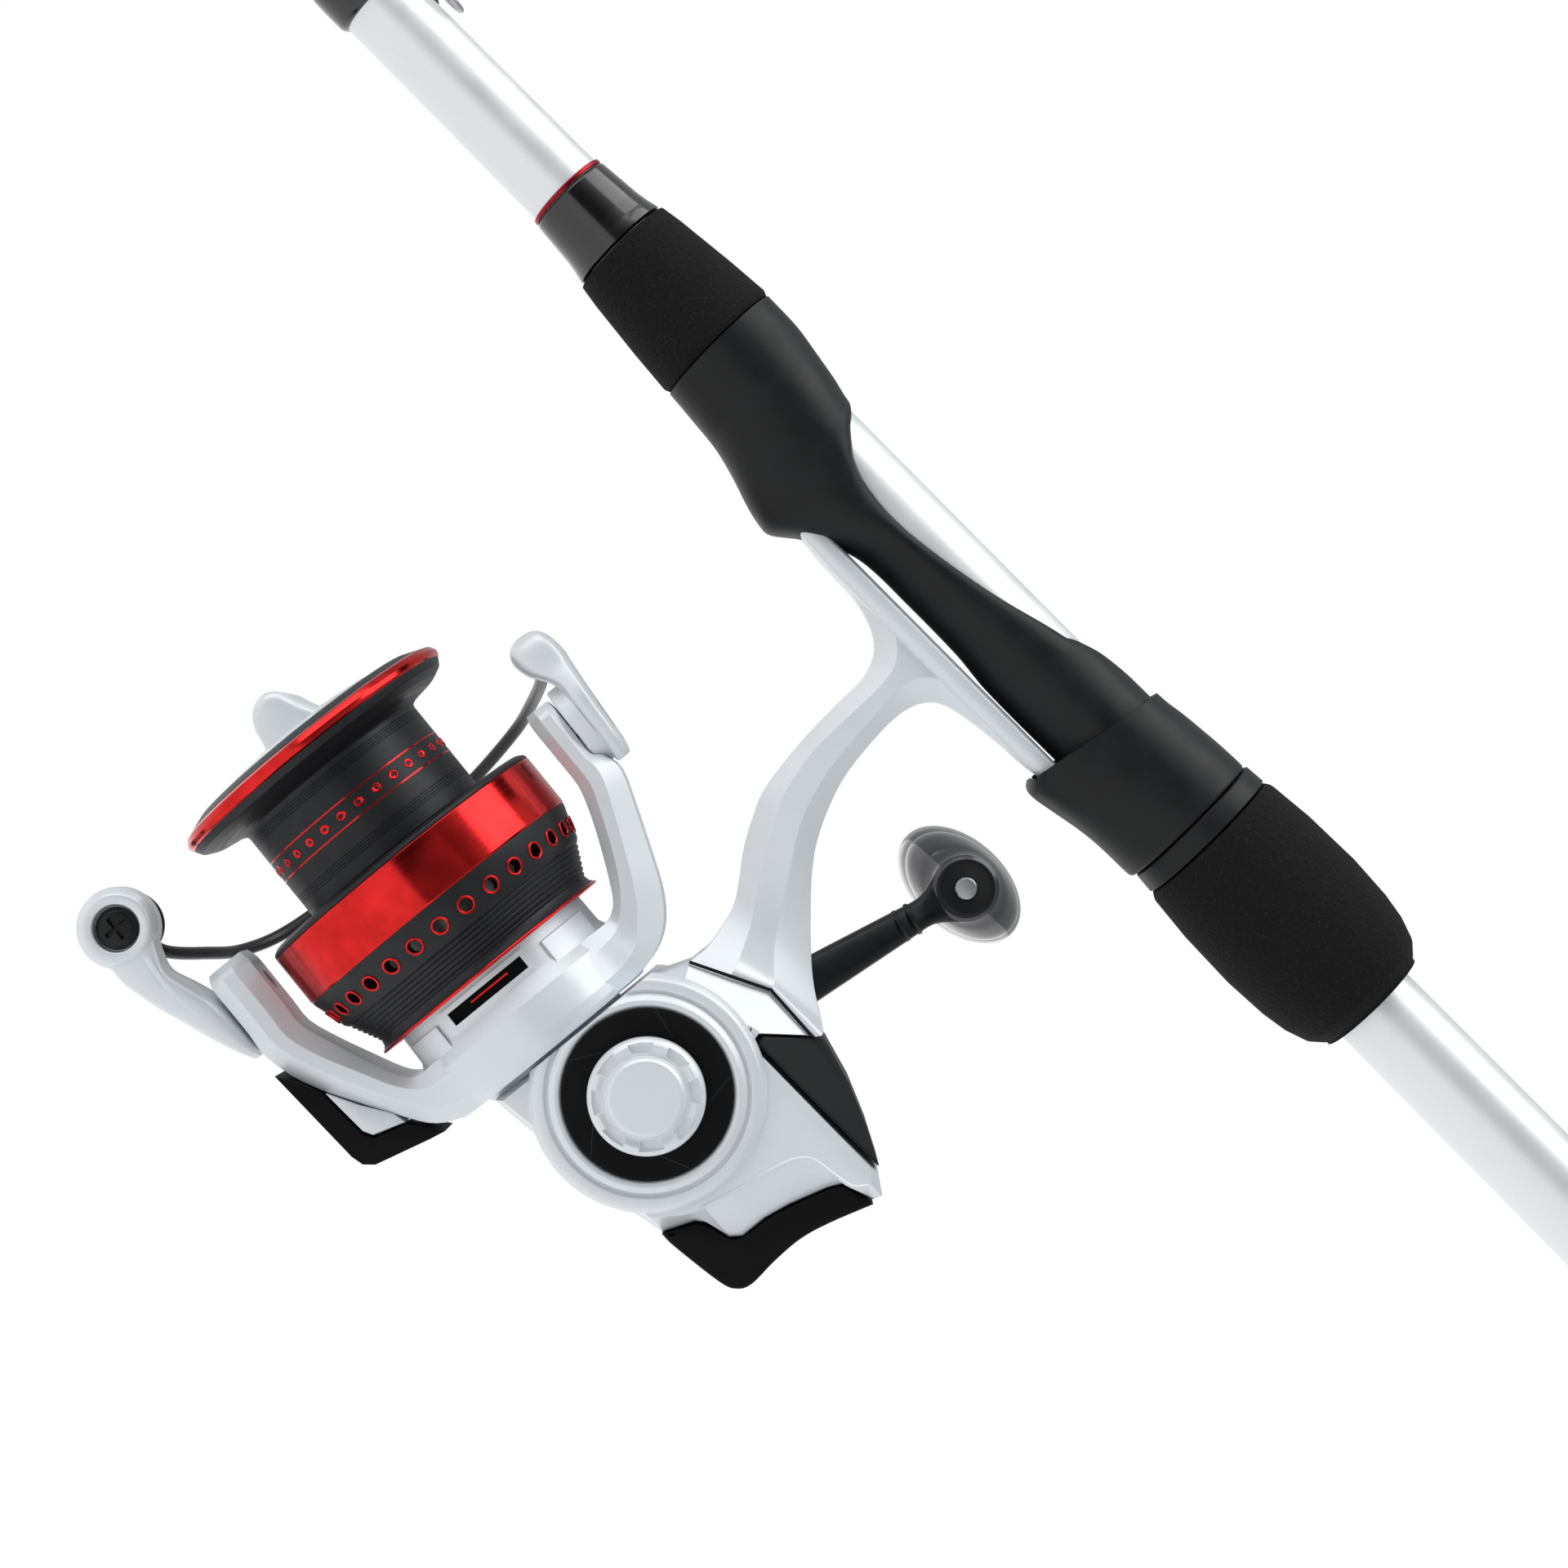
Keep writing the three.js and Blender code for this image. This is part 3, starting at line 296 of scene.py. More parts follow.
PEARL = pearl("pearl_lacquer")
PEARL_SATIN = pearl("pearl_lacquer_satin", (0.74, 0.79, 0.83), 0.42)
BLANK_PEARL = pearl("blank_lacquer", (0.83, 0.865, 0.885), 0.4, metal=0.5)
CHARCOAL = soft_touch("charcoal_soft_touch", (0.0075, 0.0082, 0.0092), 0.44, 0.25)
RUBBER = soft_touch("black_rubber", (0.004, 0.004, 0.0042), 0.6, 0.12)
SATIN_BLACK = soft_touch("satin_black", (0.006, 0.0065, 0.0075), 0.32, 0.3)
# Near-black paint: the real dark seam along the cover, and painted shade for the hollow seen through the
# rotor's window.
SEAM_AND_SHADE_BLACK = soft_touch("seam_black_and_painted_shade", (0.003, 0.003, 0.0035), 0.8)
FOAM = foam("grip_foam")
RED = turned_metal("red_anodised", REEL_AXIS, (0.72, 0.025, 0.025), 0.15)
RED_TRIM = turned_metal("red_trim", ROD_AXIS, (0.36, 0.02, 0.03), 0.3)
BLACK_ANODISED = turned_metal("black_anodised", REEL_AXIS, (0.022, 0.023, 0.026), 0.42, 0.55)
GUNMETAL = turned_metal("gunmetal", ROD_AXIS, (0.08, 0.08, 0.09), 0.28, 0.9)
BLACK_WIRE = turned_metal("black_wire", ROD_AXIS, (0.03, 0.03, 0.034), 0.26, 0.7)
STEEL = turned_metal("turned_steel", REEL_AXIS, (0.55, 0.56, 0.58), 0.25)
STEEL_PIN = turned_metal("turned_pin", CRANK_AXIS, (0.5, 0.51, 0.53), 0.3)
BRASS = turned_metal("machined_brass", REEL_AXIS, (0.62, 0.44, 0.17), 0.32)
CERAMIC = turned_metal("ring_ceramic", ROD_AXIS, (0.03, 0.03, 0.035), 0.12, 0.0, 0.1, 1.0)
WINDING = wound_thread("thread_winding", ROD_AXIS)
SMOKED = smoked("smoked_skin", 0.96, (0.40, 0.41, 0.46), (0.48, 0.49, 0.54))
SMOKED_CORE = smoked("smoked_core", 0.0, (0.002, 0.0025, 0.006), (0.006, 0.007, 0.016), 0.1)
FELT = felted("drag_felt")


# ---------------------------------------------------------------- mesh helpers

CORNER_STEPS = 4


def angles(count):
    """Evenly spread angles of a full turn."""
    return [2 * math.pi * i / count for i in range(count)]


def ramp(value, start, length):
    """0 up to a start, then a straight rise to 1 over a length."""
    return min(1, max(0, (value - start) / length))


def signed_power(value, power):
    return math.copysign(abs(value) ** power, value)


def rounded(points, radius, closed=True):
    """An outline with its corners rounded. A point may carry its own radius as a third value."""
    result = []
    for i, point in enumerate(points):
        own = point[2] if len(point) > 2 else radius
        here = Vector(point[:2])
        before = Vector(points[i - 1][:2]) - here
        after = Vector(points[(i + 1) % len(points)][:2]) - here
        at_end = not closed and i in (0, len(points) - 1)
        if at_end or own == 0 or before.length < 1e-6 or after.length < 1e-6:
            result.append(tuple(here))
            continue
        half = before.angle(after) / 2
        if half > math.radians(88):
            result.append(tuple(here))
            continue
        reach = min(own / math.tan(half), before.length * 0.48, after.length * 0.48)
        start = here + before.normalized() * reach
        end = here + after.normalized() * reach
        for k in range(CORNER_STEPS + 1):
            t = k / CORNER_STEPS
            result.append(tuple(start * (1 - t) ** 2 + here * 2 * t * (1 - t) + end * t * t))
    return result


def smooth(points, steps):
    """A Catmull-Rom curve through points of any dimension."""
    vectors = [Vector(point) for point in points]
    last = len(vectors) - 1
    result = []
    for i in range(last):
        p1, p2 = vectors[i], vectors[i + 1]
        p0 = vectors[i - 1] if i > 0 else p1 * 2 - p2
        p3 = vectors[i + 2] if i + 2 <= last else p2 * 2 - p1
        for k in range(steps):
            t = k / steps
            result.append(0.5 * (2 * p1 + (p2 - p0) * t + (2 * p0 - 5 * p1 + 4 * p2 - p3) * t * t
                                 + (3 * p1 - p0 - 3 * p2 + p3) * t ** 3))
    result.append(vectors[-1])
    return result


def table_at(table, x):
    """Smooth value of a table of (x, value) pairs, by a cubic through the neighbouring pairs."""
    if x <= table[0][0]:
        return table[0][1]
    last = len(table) - 1
    for i in range(last):
        (x0, v0), (x1, v1) = table[i], table[i + 1]
        if x <= x1:
            before, after = table[max(i - 1, 0)], table[min(i + 2, last)]
            span = x1 - x0
            slope0 = (v1 - before[1]) / (x1 - before[0]) * span
            slope1 = (after[1] - v0) / (after[0] - x0) * span
            t = (x - x0) / span
            return (v0 * (2 * t ** 3 - 3 * t * t + 1) + slope0 * (t ** 3 - 2 * t * t + t)
                    + v1 * (3 * t * t - 2 * t ** 3) + slope1 * (t ** 3 - t * t))
    return table[-1][1]


def bridge(bm, first, second):
    """Faces between two rings of vertices; either may be a single point."""
    count = max(len(first), len(second))
    for i in range(count):
        j = (i + 1) % count
        corners = [first[i % len(first)], first[j % len(first)], second[j % len(second)],
                   second[i % len(second)]]
        face = list(dict.fromkeys(corners))
        if len(face) > 2:
            bm.faces.new(face)


def skin(sections):
    """A closed skin through rings of points, with a flat face at either end."""
    bm = bmesh.new()
    rings = [[bm.verts.new(point) for point in section] for section in sections]
    for first, second in zip(rings, rings[1:]):
        bridge(bm, first, second)
    bm.faces.new(rings[0])
    bm.faces.new(rings[-1])
    return bm


def turned(profile, sides=96):
    """A turned body about X from (x, radius) pairs: from axis to axis, or a closed ring."""
    bm = bmesh.new()
    rings = []
    for x, radius in profile:
        if radius < 1e-6:
            rings.append([bm.verts.new((x, 0, 0))])
            continue
        rings.append([bm.verts.new((x, radius * math.cos(a), radius * math.sin(a)))
                      for a in angles(sides)])
    for first, second in zip(rings, rings[1:]):
        bridge(bm, first, second)
    if len(rings[0]) > 1 and len(rings[-1]) > 1:
        bridge(bm, rings[-1], rings[0])
    return bm


def hoop(radius, wire, sides, wire_sides):
    """A ring of round wire about X."""
    return turned([(wire * math.sin(a), radius + wire * math.cos(a)) for a in angles(wire_sides)], sides)


def about_y(bm, x=CRANK_X, z=CRANK_Z):
    """Turns a body drawn about X so that its X runs along Y, through (x, 0, z)."""
    bm.transform(Matrix.Translation((x, 0, z)) @ Matrix.Rotation(math.radians(90), 4, "Z"))
    return bm


def about_z(bm, x, y=0, z=0):
    """The same, with its X along Z, through (x, y, z)."""
    bm.transform(Matrix.Translation((x, y, z)) @ Matrix.Rotation(math.radians(-90), 4, "Y"))
    return bm


def on_crank(bm):
    """From the upright handle's frame, whose Z runs up the arm, to the reel's frame."""
    bm.transform(Matrix.Translation((CRANK_X, 0, CRANK_Z)) @ Matrix.Rotation(CRANK_LEAN, 4, "Y"))
    return bm


def join(*parts):
    """One bmesh from several; the pieces may pass through each other."""
    whole = bmesh.new()
    for part in parts:
        mesh = bpy.data.meshes.new("part")
        part.to_mesh(mesh)
        part.free()
        whole.from_mesh(mesh)
        bpy.data.meshes.remove(mesh)
    return whole


def inset(outline, distance):
    """A closed outline moved inwards along its corner normals."""
    count = len(outline)
    area = sum(outline[i - 1][0] * outline[i][1] - outline[i][0] * outline[i - 1][1]
               for i in range(count))
    side = 1 if area > 0 else -1
    result = []
    for i in range(count):
        before = (Vector(outline[i]) - Vector(outline[i - 1])).normalized()
        after = (Vector(outline[(i + 1) % count]) - Vector(outline[i])).normalized()
        normal = Vector((-(before.y + after.y), before.x + after.x)) * side
        if normal.length < 1e-6:
            normal = Vector((-before.y, before.x)) * side
        normal.normalize()
        stretch = max(0.6, normal.dot(Vector((-after.y, after.x)) * side))
        result.append(tuple(Vector(outline[i]) + normal * (distance / stretch)))
    return result


def slab(outline, low, high, edge, steps=4):
    """A flat body between y = low and y = high whose rims are rounded by a radius."""
    rim = []
    for k in range(steps + 1):
        angle = math.radians(90) * k / steps
        rim.append((edge * (1 - math.sin(angle)), edge * (1 - math.cos(angle))))
    rings = [(depth, low + rise) for depth, rise in rim]
    rings += [(depth, high - rise) for depth, rise in reversed(rim)]
    return skin([[(x, y, z) for x, z in inset(outline, depth)] for depth, y in rings])


def swept(points, radius, sides=16, steps=8):
    """A round bar along a smooth path. The radius is a number or a function of the share of the way."""
    path = smooth(points, steps)
    normal = Vector((0, 0, 1))
    sections = []
    for i, here in enumerate(path):
        ahead = path[min(i + 1, len(path) - 1)] - path[max(i - 1, 0)]
        ahead.normalize()
        normal = normal - ahead * normal.dot(ahead)
        if normal.length < 1e-4:
            normal = ahead.orthogonal()
        normal.normalize()
        other = ahead.cross(normal)
        size = radius(i / (len(path) - 1)) if callable(radius) else radius
        sections.append([here + (normal * math.cos(a) + other * math.sin(a)) * size
                         for a in angles(sides)])
    return skin(sections)


def brick(low, high):
    """A block between two corners (x, y, z)."""
    corners = [(low[0], low[2]), (high[0], low[2]), (high[0], high[2]), (low[0], high[2])]
    return skin([[(x, y, z) for x, z in corners] for y in (low[1], high[1])])


def as_object(name, bm, place):
    """A mesh object from a body, with its placement baked into its vertices."""
    bmesh.ops.recalc_face_normals(bm, faces=bm.faces)
    mesh = bpy.data.meshes.new(name)
    bm.to_mesh(mesh)
    bm.free()
    mesh.transform(place)
    obj = bpy.data.objects.new(name, mesh)
    bpy.context.scene.collection.objects.link(obj)
    return obj


def carve(obj, cutter, place, operation="DIFFERENCE"):
    """Cuts a shape out of an object, for good."""
    tool = as_object("cutter", cutter, place)
    change = obj.modifiers.new("cut", "BOOLEAN")
    change.object = tool
    change.operation = operation
    change.solver = "EXACT"
    graph = bpy.context.evaluated_depsgraph_get()
    mesh = bpy.data.meshes.new_from_object(obj.evaluated_get(graph))
    obj.modifiers.clear()
    obj.data = mesh
    bpy.data.objects.remove(tool)


def finish(obj, material, body, *nodes, slot, sharp=30, bevel=0.0):
    """Gives a piece its material, its smooth shading and its body, and hides the nodes it stands for."""
    obj.data.materials.clear()
    obj.data.materials.append(material)
    obj.data.shade_smooth()
    obj.data.set_sharp_from_angle(angle=math.radians(sharp))
    if bevel:
        soften = obj.modifiers.new("bevel", "BEVEL")
        soften.width = bevel * MM
        soften.segments = 3
        soften.limit_method = "ANGLE"
        soften.angle_limit = math.radians(sharp)
        soften.harden_normals = True
    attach(obj, body)
    if nodes:
        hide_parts(*nodes)
    return obj


def piece(name, bm, material, body, *nodes, place=REEL, **options):
    return finish(as_object(name, bm, place), material, body, *nodes, **options)


# ---------------------------------------------------------------- blank, grips and windings


def blank_radius(x):
    return BLANK_BUTT_RADIUS - BLANK_TAPER * x


def ring_profile(outer, bore):
    """A turned sleeve: its outer profile, then straight back along the bore."""
    return [(outer[0][0], bore)] + list(outer) + [(outer[-1][0], bore)]


def make_blank():
    rear, front = SEAT_X - 34, SEAT_X + 38      # ends of its thinner part in the seat
    butt = [(4, 5.9), (4, blank_radius(4)), (rear - 6, blank_radius(rear)), (rear, 7.05),
            (front, 7.05), (front + 8, blank_radius(front)),
            (FERRULE_X - 2.6, blank_radius(FERRULE_X)), (FERRULE_X - 2, blank_radius(FERRULE_X) - 0.5),
            (FERRULE_X - 2, 3.2)]
    piece("blank_lower", turned(butt), BLANK_PEARL, "root", "blank_butt", place=ROD, slot="pearl")
    start = blank_radius(FERRULE_X)
    tip = [(FERRULE_X + 200, 0), (FERRULE_X + 197, 1.2), (FERRULE_X + 60, 3.1), (FERRULE_X, 3.2),
           (FERRULE_X, start), (FERRULE_X + 0.5, start + 0.3), (FERRULE_X + 30, start + 0.25),
           (FERRULE_X + 44, start + 0.05), (ROD_LENGTH - 8, 1.05), (ROD_LENGTH - 8, 0)]
    piece("blank_upper", turned(tip, 64), BLANK_PEARL, "tip_section", "blank_tip", place=ROD,
          slot="pearl")
    spigot = [(FERRULE_X + x, radius) for x, radius in
              ((-60, 0), (-60, 2.6), (-59, 2.96), (0, 2.94), (52, 2.6), (55, 1.8), (55, 0))]
    piece("ferrule_plug", turned(spigot, 48), SATIN_BLACK, "root", "ferrule_spigot", place=ROD,
          slot="ferrule")


def sleeve(name, outer, bore, material, body, node, edge, slot, place=SEAT):
    """A turned sleeve with softened corners."""
    soft = rounded(outer, edge, closed=False)
    return piece(name, turned(ring_profile(soft, bore)), material, body, node, place=place, slot=slot)


def winding(name, body, start, end, under, height, *nodes):
    """Thread under epoxy: a sleeve whose ends sink to the blank."""
    span = end - start
    shape = [(0, 0.02), (0.03, 0.45), (0.09, 0.85), (0.2, 1), (0.8, 1), (0.91, 0.85), (0.97, 0.45),
             (1, 0.02)]
    outer = [(start + span * t, under(start + span * t) + height * share) for t, share in shape]
    profile = [tuple(point) for point in smooth(outer, 4)]
    inner = [(end, under(end) - 0.3), (start, under(start) - 0.3)]
    piece(name, turned(profile + inner, 64), WINDING, body, *nodes, place=ROD, slot="windings")


# Outsides of the sleeves on the rod: x and radius, with x from the butt in the first two and from the
# seat in the others.
BUTT_CAP = [(0.01, 0.01), (0.01, 11.2, 1), (1.2, 13.0, 1), (3, 13.6), (9, 13.8), (10.9, 13.1)]
BUTT_GRIP = [(11.3, 12.6), (12.4, 13.15), (40, 13.2), (74, 12.4), (92, 10.6), (97, 8.9)]
FORE_GRIP = [(53.4, 10.15), (54.2, 10.5), (61, 9.95), (70.4, 8.95), (73.6, 8.45), (73.6, 8.2)]
FORE_WINDING = [(73.8, 7.6), (74.2, 8.05, 0.2), (76, 7.62), (78, 7.3), (84.6, 6.75), (84.9, 6.3)]
TRIM_BAND = [(84.95, 6.3), (85.05, 6.66), (85.6, 6.62), (85.75, 6.2)]
LOCK_RING = [(-50.2, 11.4), (-50.1, 11.75), (-47.0, 11.5), (-46.8, 11.2)]
LOCK_NUT = [(-85, 8.2), (-84.4, 9.2), (-82.5, 10.9), (-79, 12.1), (-75, 12.75), (-68, 13.15),
            (-58.7, 12.9), (-51.4, 12.2), (-50.5, 11.6)]


def make_grips():
    sleeve("butt_cap_rubber", BUTT_CAP, 0.005, RUBBER, "root", "butt_cap", 1.0, "butt_rubber", ROD)
    grip = sleeve("butt_grip_foam", BUTT_GRIP, 7.9, FOAM, "root", "butt_grip", 1.2, "foam", ROD)
    grip = sleeve("fore_grip_foam", FORE_GRIP, 6.7, FOAM, "root", "fore_grip", 0.7, "foam")
    sleeve("fore_winding_epoxy", FORE_WINDING, 6.2, WINDING, "root", "fore_winding", 1.5, "windings")
    sleeve("trim_band_red", TRIM_BAND, 6.1, RED_TRIM, "root", "trim_band", 0.15, "red_metal")
    sleeve("lock_ring_black", LOCK_RING, 8.95, CHARCOAL, "seat_nut", "lock_ring", 0.2, "black_trim")
    cover = sleeve("lock_nut_foam", LOCK_NUT, 8.95, FOAM, "seat_nut", "lock_nut", 2.0, "foam")


KEEPER_X = 117                      # start of the hook keeper, from the seat
KEEPER_RING = 3.3                   # radius of its folding ring


def make_keeper():
    """Hook keeper: a wire eye whipped to the blank, and its folding ring."""
    start = SEAT_X + KEEPER_X
    winding("keeper_winding", "root", start + 8.4, start + 16, lambda x: blank_radius(x) - 0.02, 0.85,
            "keeper_wrap")
    eye = [(2, 0, 5.9), (3.5, 0, 7), (4.4, 0, 8.9), (5.5, 0, 9.35), (6.6, 0, 8.9), (7.6, 0, 7.4),
           (9.4, 0, 6.6)]
    place = Matrix.Translation((start * MM, 0, 0)) @ ROD
    piece("keeper_eye", swept(eye, 0.42, 12), GUNMETAL, "root", place=place, slot="gunmetal")
    ring = about_z(hoop(KEEPER_RING, 0.48, 48, 14), 5.5 - KEEPER_RING, 0, 7.9)      # lies in the eye
    piece("keeper_loop", ring, STEEL, "hook_ring", "keeper_ring", place=place, slot="steel")


make_blank()
make_grips()
make_keeper()


# ---------------------------------------------------------------- reel seat

SLANT = -0.1875                     # lean of the joint between the seat and its sliding hood

SEAT_EDGE = [(-29, 8.6), (-24.5, 8.55), (-20, 7.9), (-16.5, 7.0), (-11, 5.5), (-3, 3.0), (6.5, 0.9),
             (14.6, -0.2), (21.6, 0.2), (26.2, 1.8), (29.5, 4.4), (31.6, 6.4), (33.6, 7.9)]
SEAT_TOP = [(-28, 8.7), (-20, 8.6), (20, 8.6), (33, 7.8), (37.6, 8.7), (42.3, 9.5), (47, 10.2),
            (53.1, 10.35)]
SEAT_SIDE = [(-28, 9.3), (-20, 8.9), (-10, 8.5), (0, 8.3), (8, 8.5), (16, 9.2), (23.5, 9.8), (33, 9.8),
             (42, 10), (53.1, 10.4)]
SEAT_BOTTOM = [(-28, 8.1), (-11.3, 8.1), (-4.7, 7.5), (6, 7.4), (14.3, 7.6), (18.9, 8.8), (24.3, 12.0),
               (27.9, 14.7), (30, 14.75), (32.9, 14.1), (37.6, 12.6), (42.3, 11.4), (47, 10.9),
               (53.1, 10.4)]
SEAT_BORE = 7.15
SEAT_START, SEAT_LENGTH = -28, 81.1
OPENING_START, OPENING_END = -24.5, 33.6


def seat_skin():
    """The seat: a skin round the blank that opens at the top, where the blank shows."""
    count = 40
    steps = 130
    sections = []
    for i in range(steps + 1):
        u = SEAT_START + SEAT_LENGTH * i / steps
        top, side, bottom = table_at(SEAT_TOP, u), table_at(SEAT_SIDE, u), table_at(SEAT_BOTTOM, u)
        edge = table_at(SEAT_EDGE, u) if OPENING_START < u < OPENING_END else top
        depth = top if edge > 0 else bottom
        reach = math.acos(max(-1, min(1, -edge / depth)))    # half of the arc that the skin covers
        lean = SLANT * ramp(-u, 19, 8)
        full = ramp(u, 15, 6) * ramp(-u, -44, 10)            # squareness of the chin under the hood
        closing = ramp(edge / top, 0.75, 0.22)               # 1 where the skin closes over the blank
        outer, inner = [], []
        for k in range(count + 1):
            share = 2 * k / count - 1
            angle = reach * share
            near_edge = min(1, (1 - abs(share)) * reach / 0.5 + closing)
            body = 0.3 + 0.7 * math.sqrt(near_edge * (2 - near_edge))      # the edges are thinner
            down = math.cos(angle)
            square = 1 + 0.6 * full if down > 0 else 1
            y = math.copysign(side * abs(math.sin(angle)) ** (1 / square), angle)
            z = -bottom * down ** (1 / (1 + 0.25 * full)) if down > 0 else -top * down
            bore_y, bore_z = SEAT_BORE * math.sin(angle), -SEAT_BORE * down
            y, z = bore_y + (y - bore_y) * body, bore_z + (z - bore_z) * body
            outer.append((u + lean * z, y, z))
            inner.append((u + lean * bore_z, bore_y, bore_z))
        sections.append(outer + inner[::-1])
    return skin(sections)


def barrel_thread():
    """Profile of the threaded barrel under the sliding hood."""
    profile = [(-75, SEAT_BORE), (-75, 8.0)]
    for i in range(18):
        x = -74 + i * 1.5
        profile += [(x, 8.05), (x + 0.5, 8.55), (x + 0.85, 8.55), (x + 1.2, 8.05)]
    return profile + [(-46, 8.55), (-27.5, 8.55), (-27.5, SEAT_BORE)]


def make_seat():
    piece("seat_skin", seat_skin(), CHARCOAL, "root", "reel_seat", place=SEAT, sharp=50, slot="charcoal")
    piece("seat_barrel", turned(barrel_thread()), SATIN_BLACK, "root", place=SEAT, slot="charcoal")


HOOD_TOP = [(-46.5, 11.0), (-46.2, 11.15), (-41, 10.95), (-37.6, 10.7), (-33, 10.3), (-30, 9.9),
            (-27.85, 9.75)]
HOOD_SIDE = [(-46.5, 11.1), (-46.2, 11.3), (-40, 11.2), (-34, 10.9), (-30, 10.5), (-27.85, 10.1)]
HOOD_BOTTOM = [(-46.5, 12.0), (-46, 12.3), (-41, 12.45), (-37.6, 12.8), (-33, 13.8), (-30.5, 14.3),
               (-28.8, 14.1), (-27.85, 13.2)]
HOOD_BORE = 8.9


def hood_skin():
    """The sliding hood: round at the top, with a flat-sided chin that holds the reel's foot."""
    sections = []
    stations = [-46.5, -46.35, -46.1] + [-45.8 + 17.3 * i / 30 for i in range(31)] + [-28.2, -28.0, -27.9]
    for u in stations:
        top, side, bottom = table_at(HOOD_TOP, u), table_at(HOOD_SIDE, u), table_at(HOOD_BOTTOM, u)
        lean = SLANT * ramp(u, -44, 14)
        chin = ramp(u, -46, 16)
        ring = []
        for angle in angles(96):
            down = math.cos(angle)
            y = side * math.sin(angle)
            if down > 0:
                z = -bottom * down ** (1 / (1 + 0.35 * chin))
                y = math.copysign(side * abs(math.sin(angle)) ** (1 / (1 + 0.7 * chin)), y)
            else:
                z = -top * down
            ring.append((u + lean * z, y, z))
        sections.append(ring)
    return skin(sections)


def make_hood():
    hood = as_object("sliding_hood_shell", hood_skin(), SEAT)
    bore = turned([(-49, 0), (-49, HOOD_BORE), (-22, HOOD_BORE), (-22, 0)], 64)
    carve(hood, bore, SEAT)
    carve(hood, brick((-31.6, -6.7, -12.5), (-20, 6.7, -4)), SEAT)
    finish(hood, CHARCOAL, "rear_hood", "sliding_hood", sharp=40, bevel=0.35, slot="charcoal")


make_seat()
make_hood()


# ---------------------------------------------------------------- line guides

GUIDES = [
    # distance from the butt, ring radius, drop of the ring's centre, foot length, body
    (835, 10.5, 27, 20, "root"),
    (1085, 6.6, 16, 14, "tip_section"),
    (1300, 4.4, 10.5, 11, "tip_section"),
    (1490, 3.3, 7.6, 9, "tip_section"),
    (1665, 2.7, 6, 8, "tip_section"),
]


def make_guide(number, x, radius, drop, foot, body):
    """A ring in a wire frame: two rear legs, one front strut, and a foot whipped to the blank."""
    surface = -blank_radius(x) - 0.7
    wire = max(0.5, radius * 0.075)
    centre = surface - drop
    frame_ring = turned([(wire * math.sin(a), radius + wire * (1.6 + math.cos(a)))
                         for a in angles(12)], 64)
    frame_ring.transform(Matrix.Translation((x, 0, centre)))
    parts = [frame_ring]
    for side in (-1, 1):
        high = centre + radius * 0.75
        leg = [(x, side * radius * 0.85, high),
               (x - foot * 0.18, side * radius * 0.5, high + (surface - high) * 0.45),
               (x - foot * 0.5, side * wire, surface - wire * 0.8),
               (x - foot, side * wire * 0.4, surface - wire * 0.2)]
        parts.append(swept(leg, wire * 0.9, 12))
    strut = [(x, 0, centre + radius + wire), (x + foot * 0.02, 0, surface - wire),
             (x + foot * 0.24, 0, surface - wire * 0.4)]
    parts.append(swept(strut, wire * 0.9, 12))
    piece(f"guide_{number}_frame", join(*parts), GUNMETAL, body, f"guide_{number}", place=ROD, sharp=60,
          slot="gunmetal")
    lip = turned([(wire * 1.1 * math.cos(a), radius + wire * 0.75 + wire * 0.75 * math.sin(a))
                  for a in angles(14)], 64)
    lip.transform(Matrix.Translation((x, 0, centre)))
    piece(f"guide_{number}_insert", lip, CERAMIC, body, place=ROD, sharp=60, slot="gunmetal")
    winding(f"guide_{number}_winding", body, x - foot * 1.15, x - foot * 0.35, blank_radius, 0.75)


def make_tip_top():
    """The last guide: a ring on struts under a tube that caps the blank."""
    ring_x, ring_z = ROD_LENGTH - 2.2, -3.4
    tube = turned([(ROD_LENGTH - 16, 1.3), (ROD_LENGTH - 16, 1.75), (ring_x - 2, 1.75), (ring_x - 1, 1.2),
                   (ring_x - 1, 0), (ROD_LENGTH - 7.6, 0), (ROD_LENGTH - 7.6, 1.3)], 40)
    ring = turned([(0.8 * math.cos(a), 2.75 + 0.5 * math.sin(a)) for a in angles(14)], 48)
    ring.transform(Matrix.Translation((ring_x, 0, ring_z)))
    struts = []
    for side in (-1, 1):
        path = [(ring_x - 6, 0, 0), (ring_x - 3, side * 0.6, -0.5), (ring_x, side * 2.3, -1.9)]
        struts.append(swept(path, 0.4, 10))
    piece("tip_top_frame", join(tube, ring, *struts), GUNMETAL, "tip_section", "tip_top", place=ROD,
          slot="gunmetal")


def make_ferrule_windings():
    winding("ferrule_winding_lower", "root", FERRULE_X - 16, FERRULE_X - 4, blank_radius, 0.5)
    winding("ferrule_winding_upper", "tip_section", FERRULE_X + 2, FERRULE_X + 16,
            lambda x: blank_radius(x) + 0.25, 0.5)


for number, guide in enumerate(GUIDES, 1):
    make_guide(number, *guide)
make_tip_top()
make_ferrule_windings()


# ---------------------------------------------------------------- loft helpers for the reel


def lofted(stations, square, sides=36):
    """A body along X from (x, z low, z high, y low, y high) stations, each a rounded rectangle."""
    sections = []
    for x, z_low, z_high, y_low, y_high in smooth(stations, 4):
        ring = []
        for angle in angles(sides):
            across = signed_power(math.cos(angle), 2 / square)
            up = signed_power(math.sin(angle), 2 / square)
            ring.append((x, (y_low + y_high) / 2 + across * (y_high - y_low) / 2,
                         (z_low + z_high) / 2 + up * (z_high - z_low) / 2))
        sections.append(ring)
    return skin(sections)


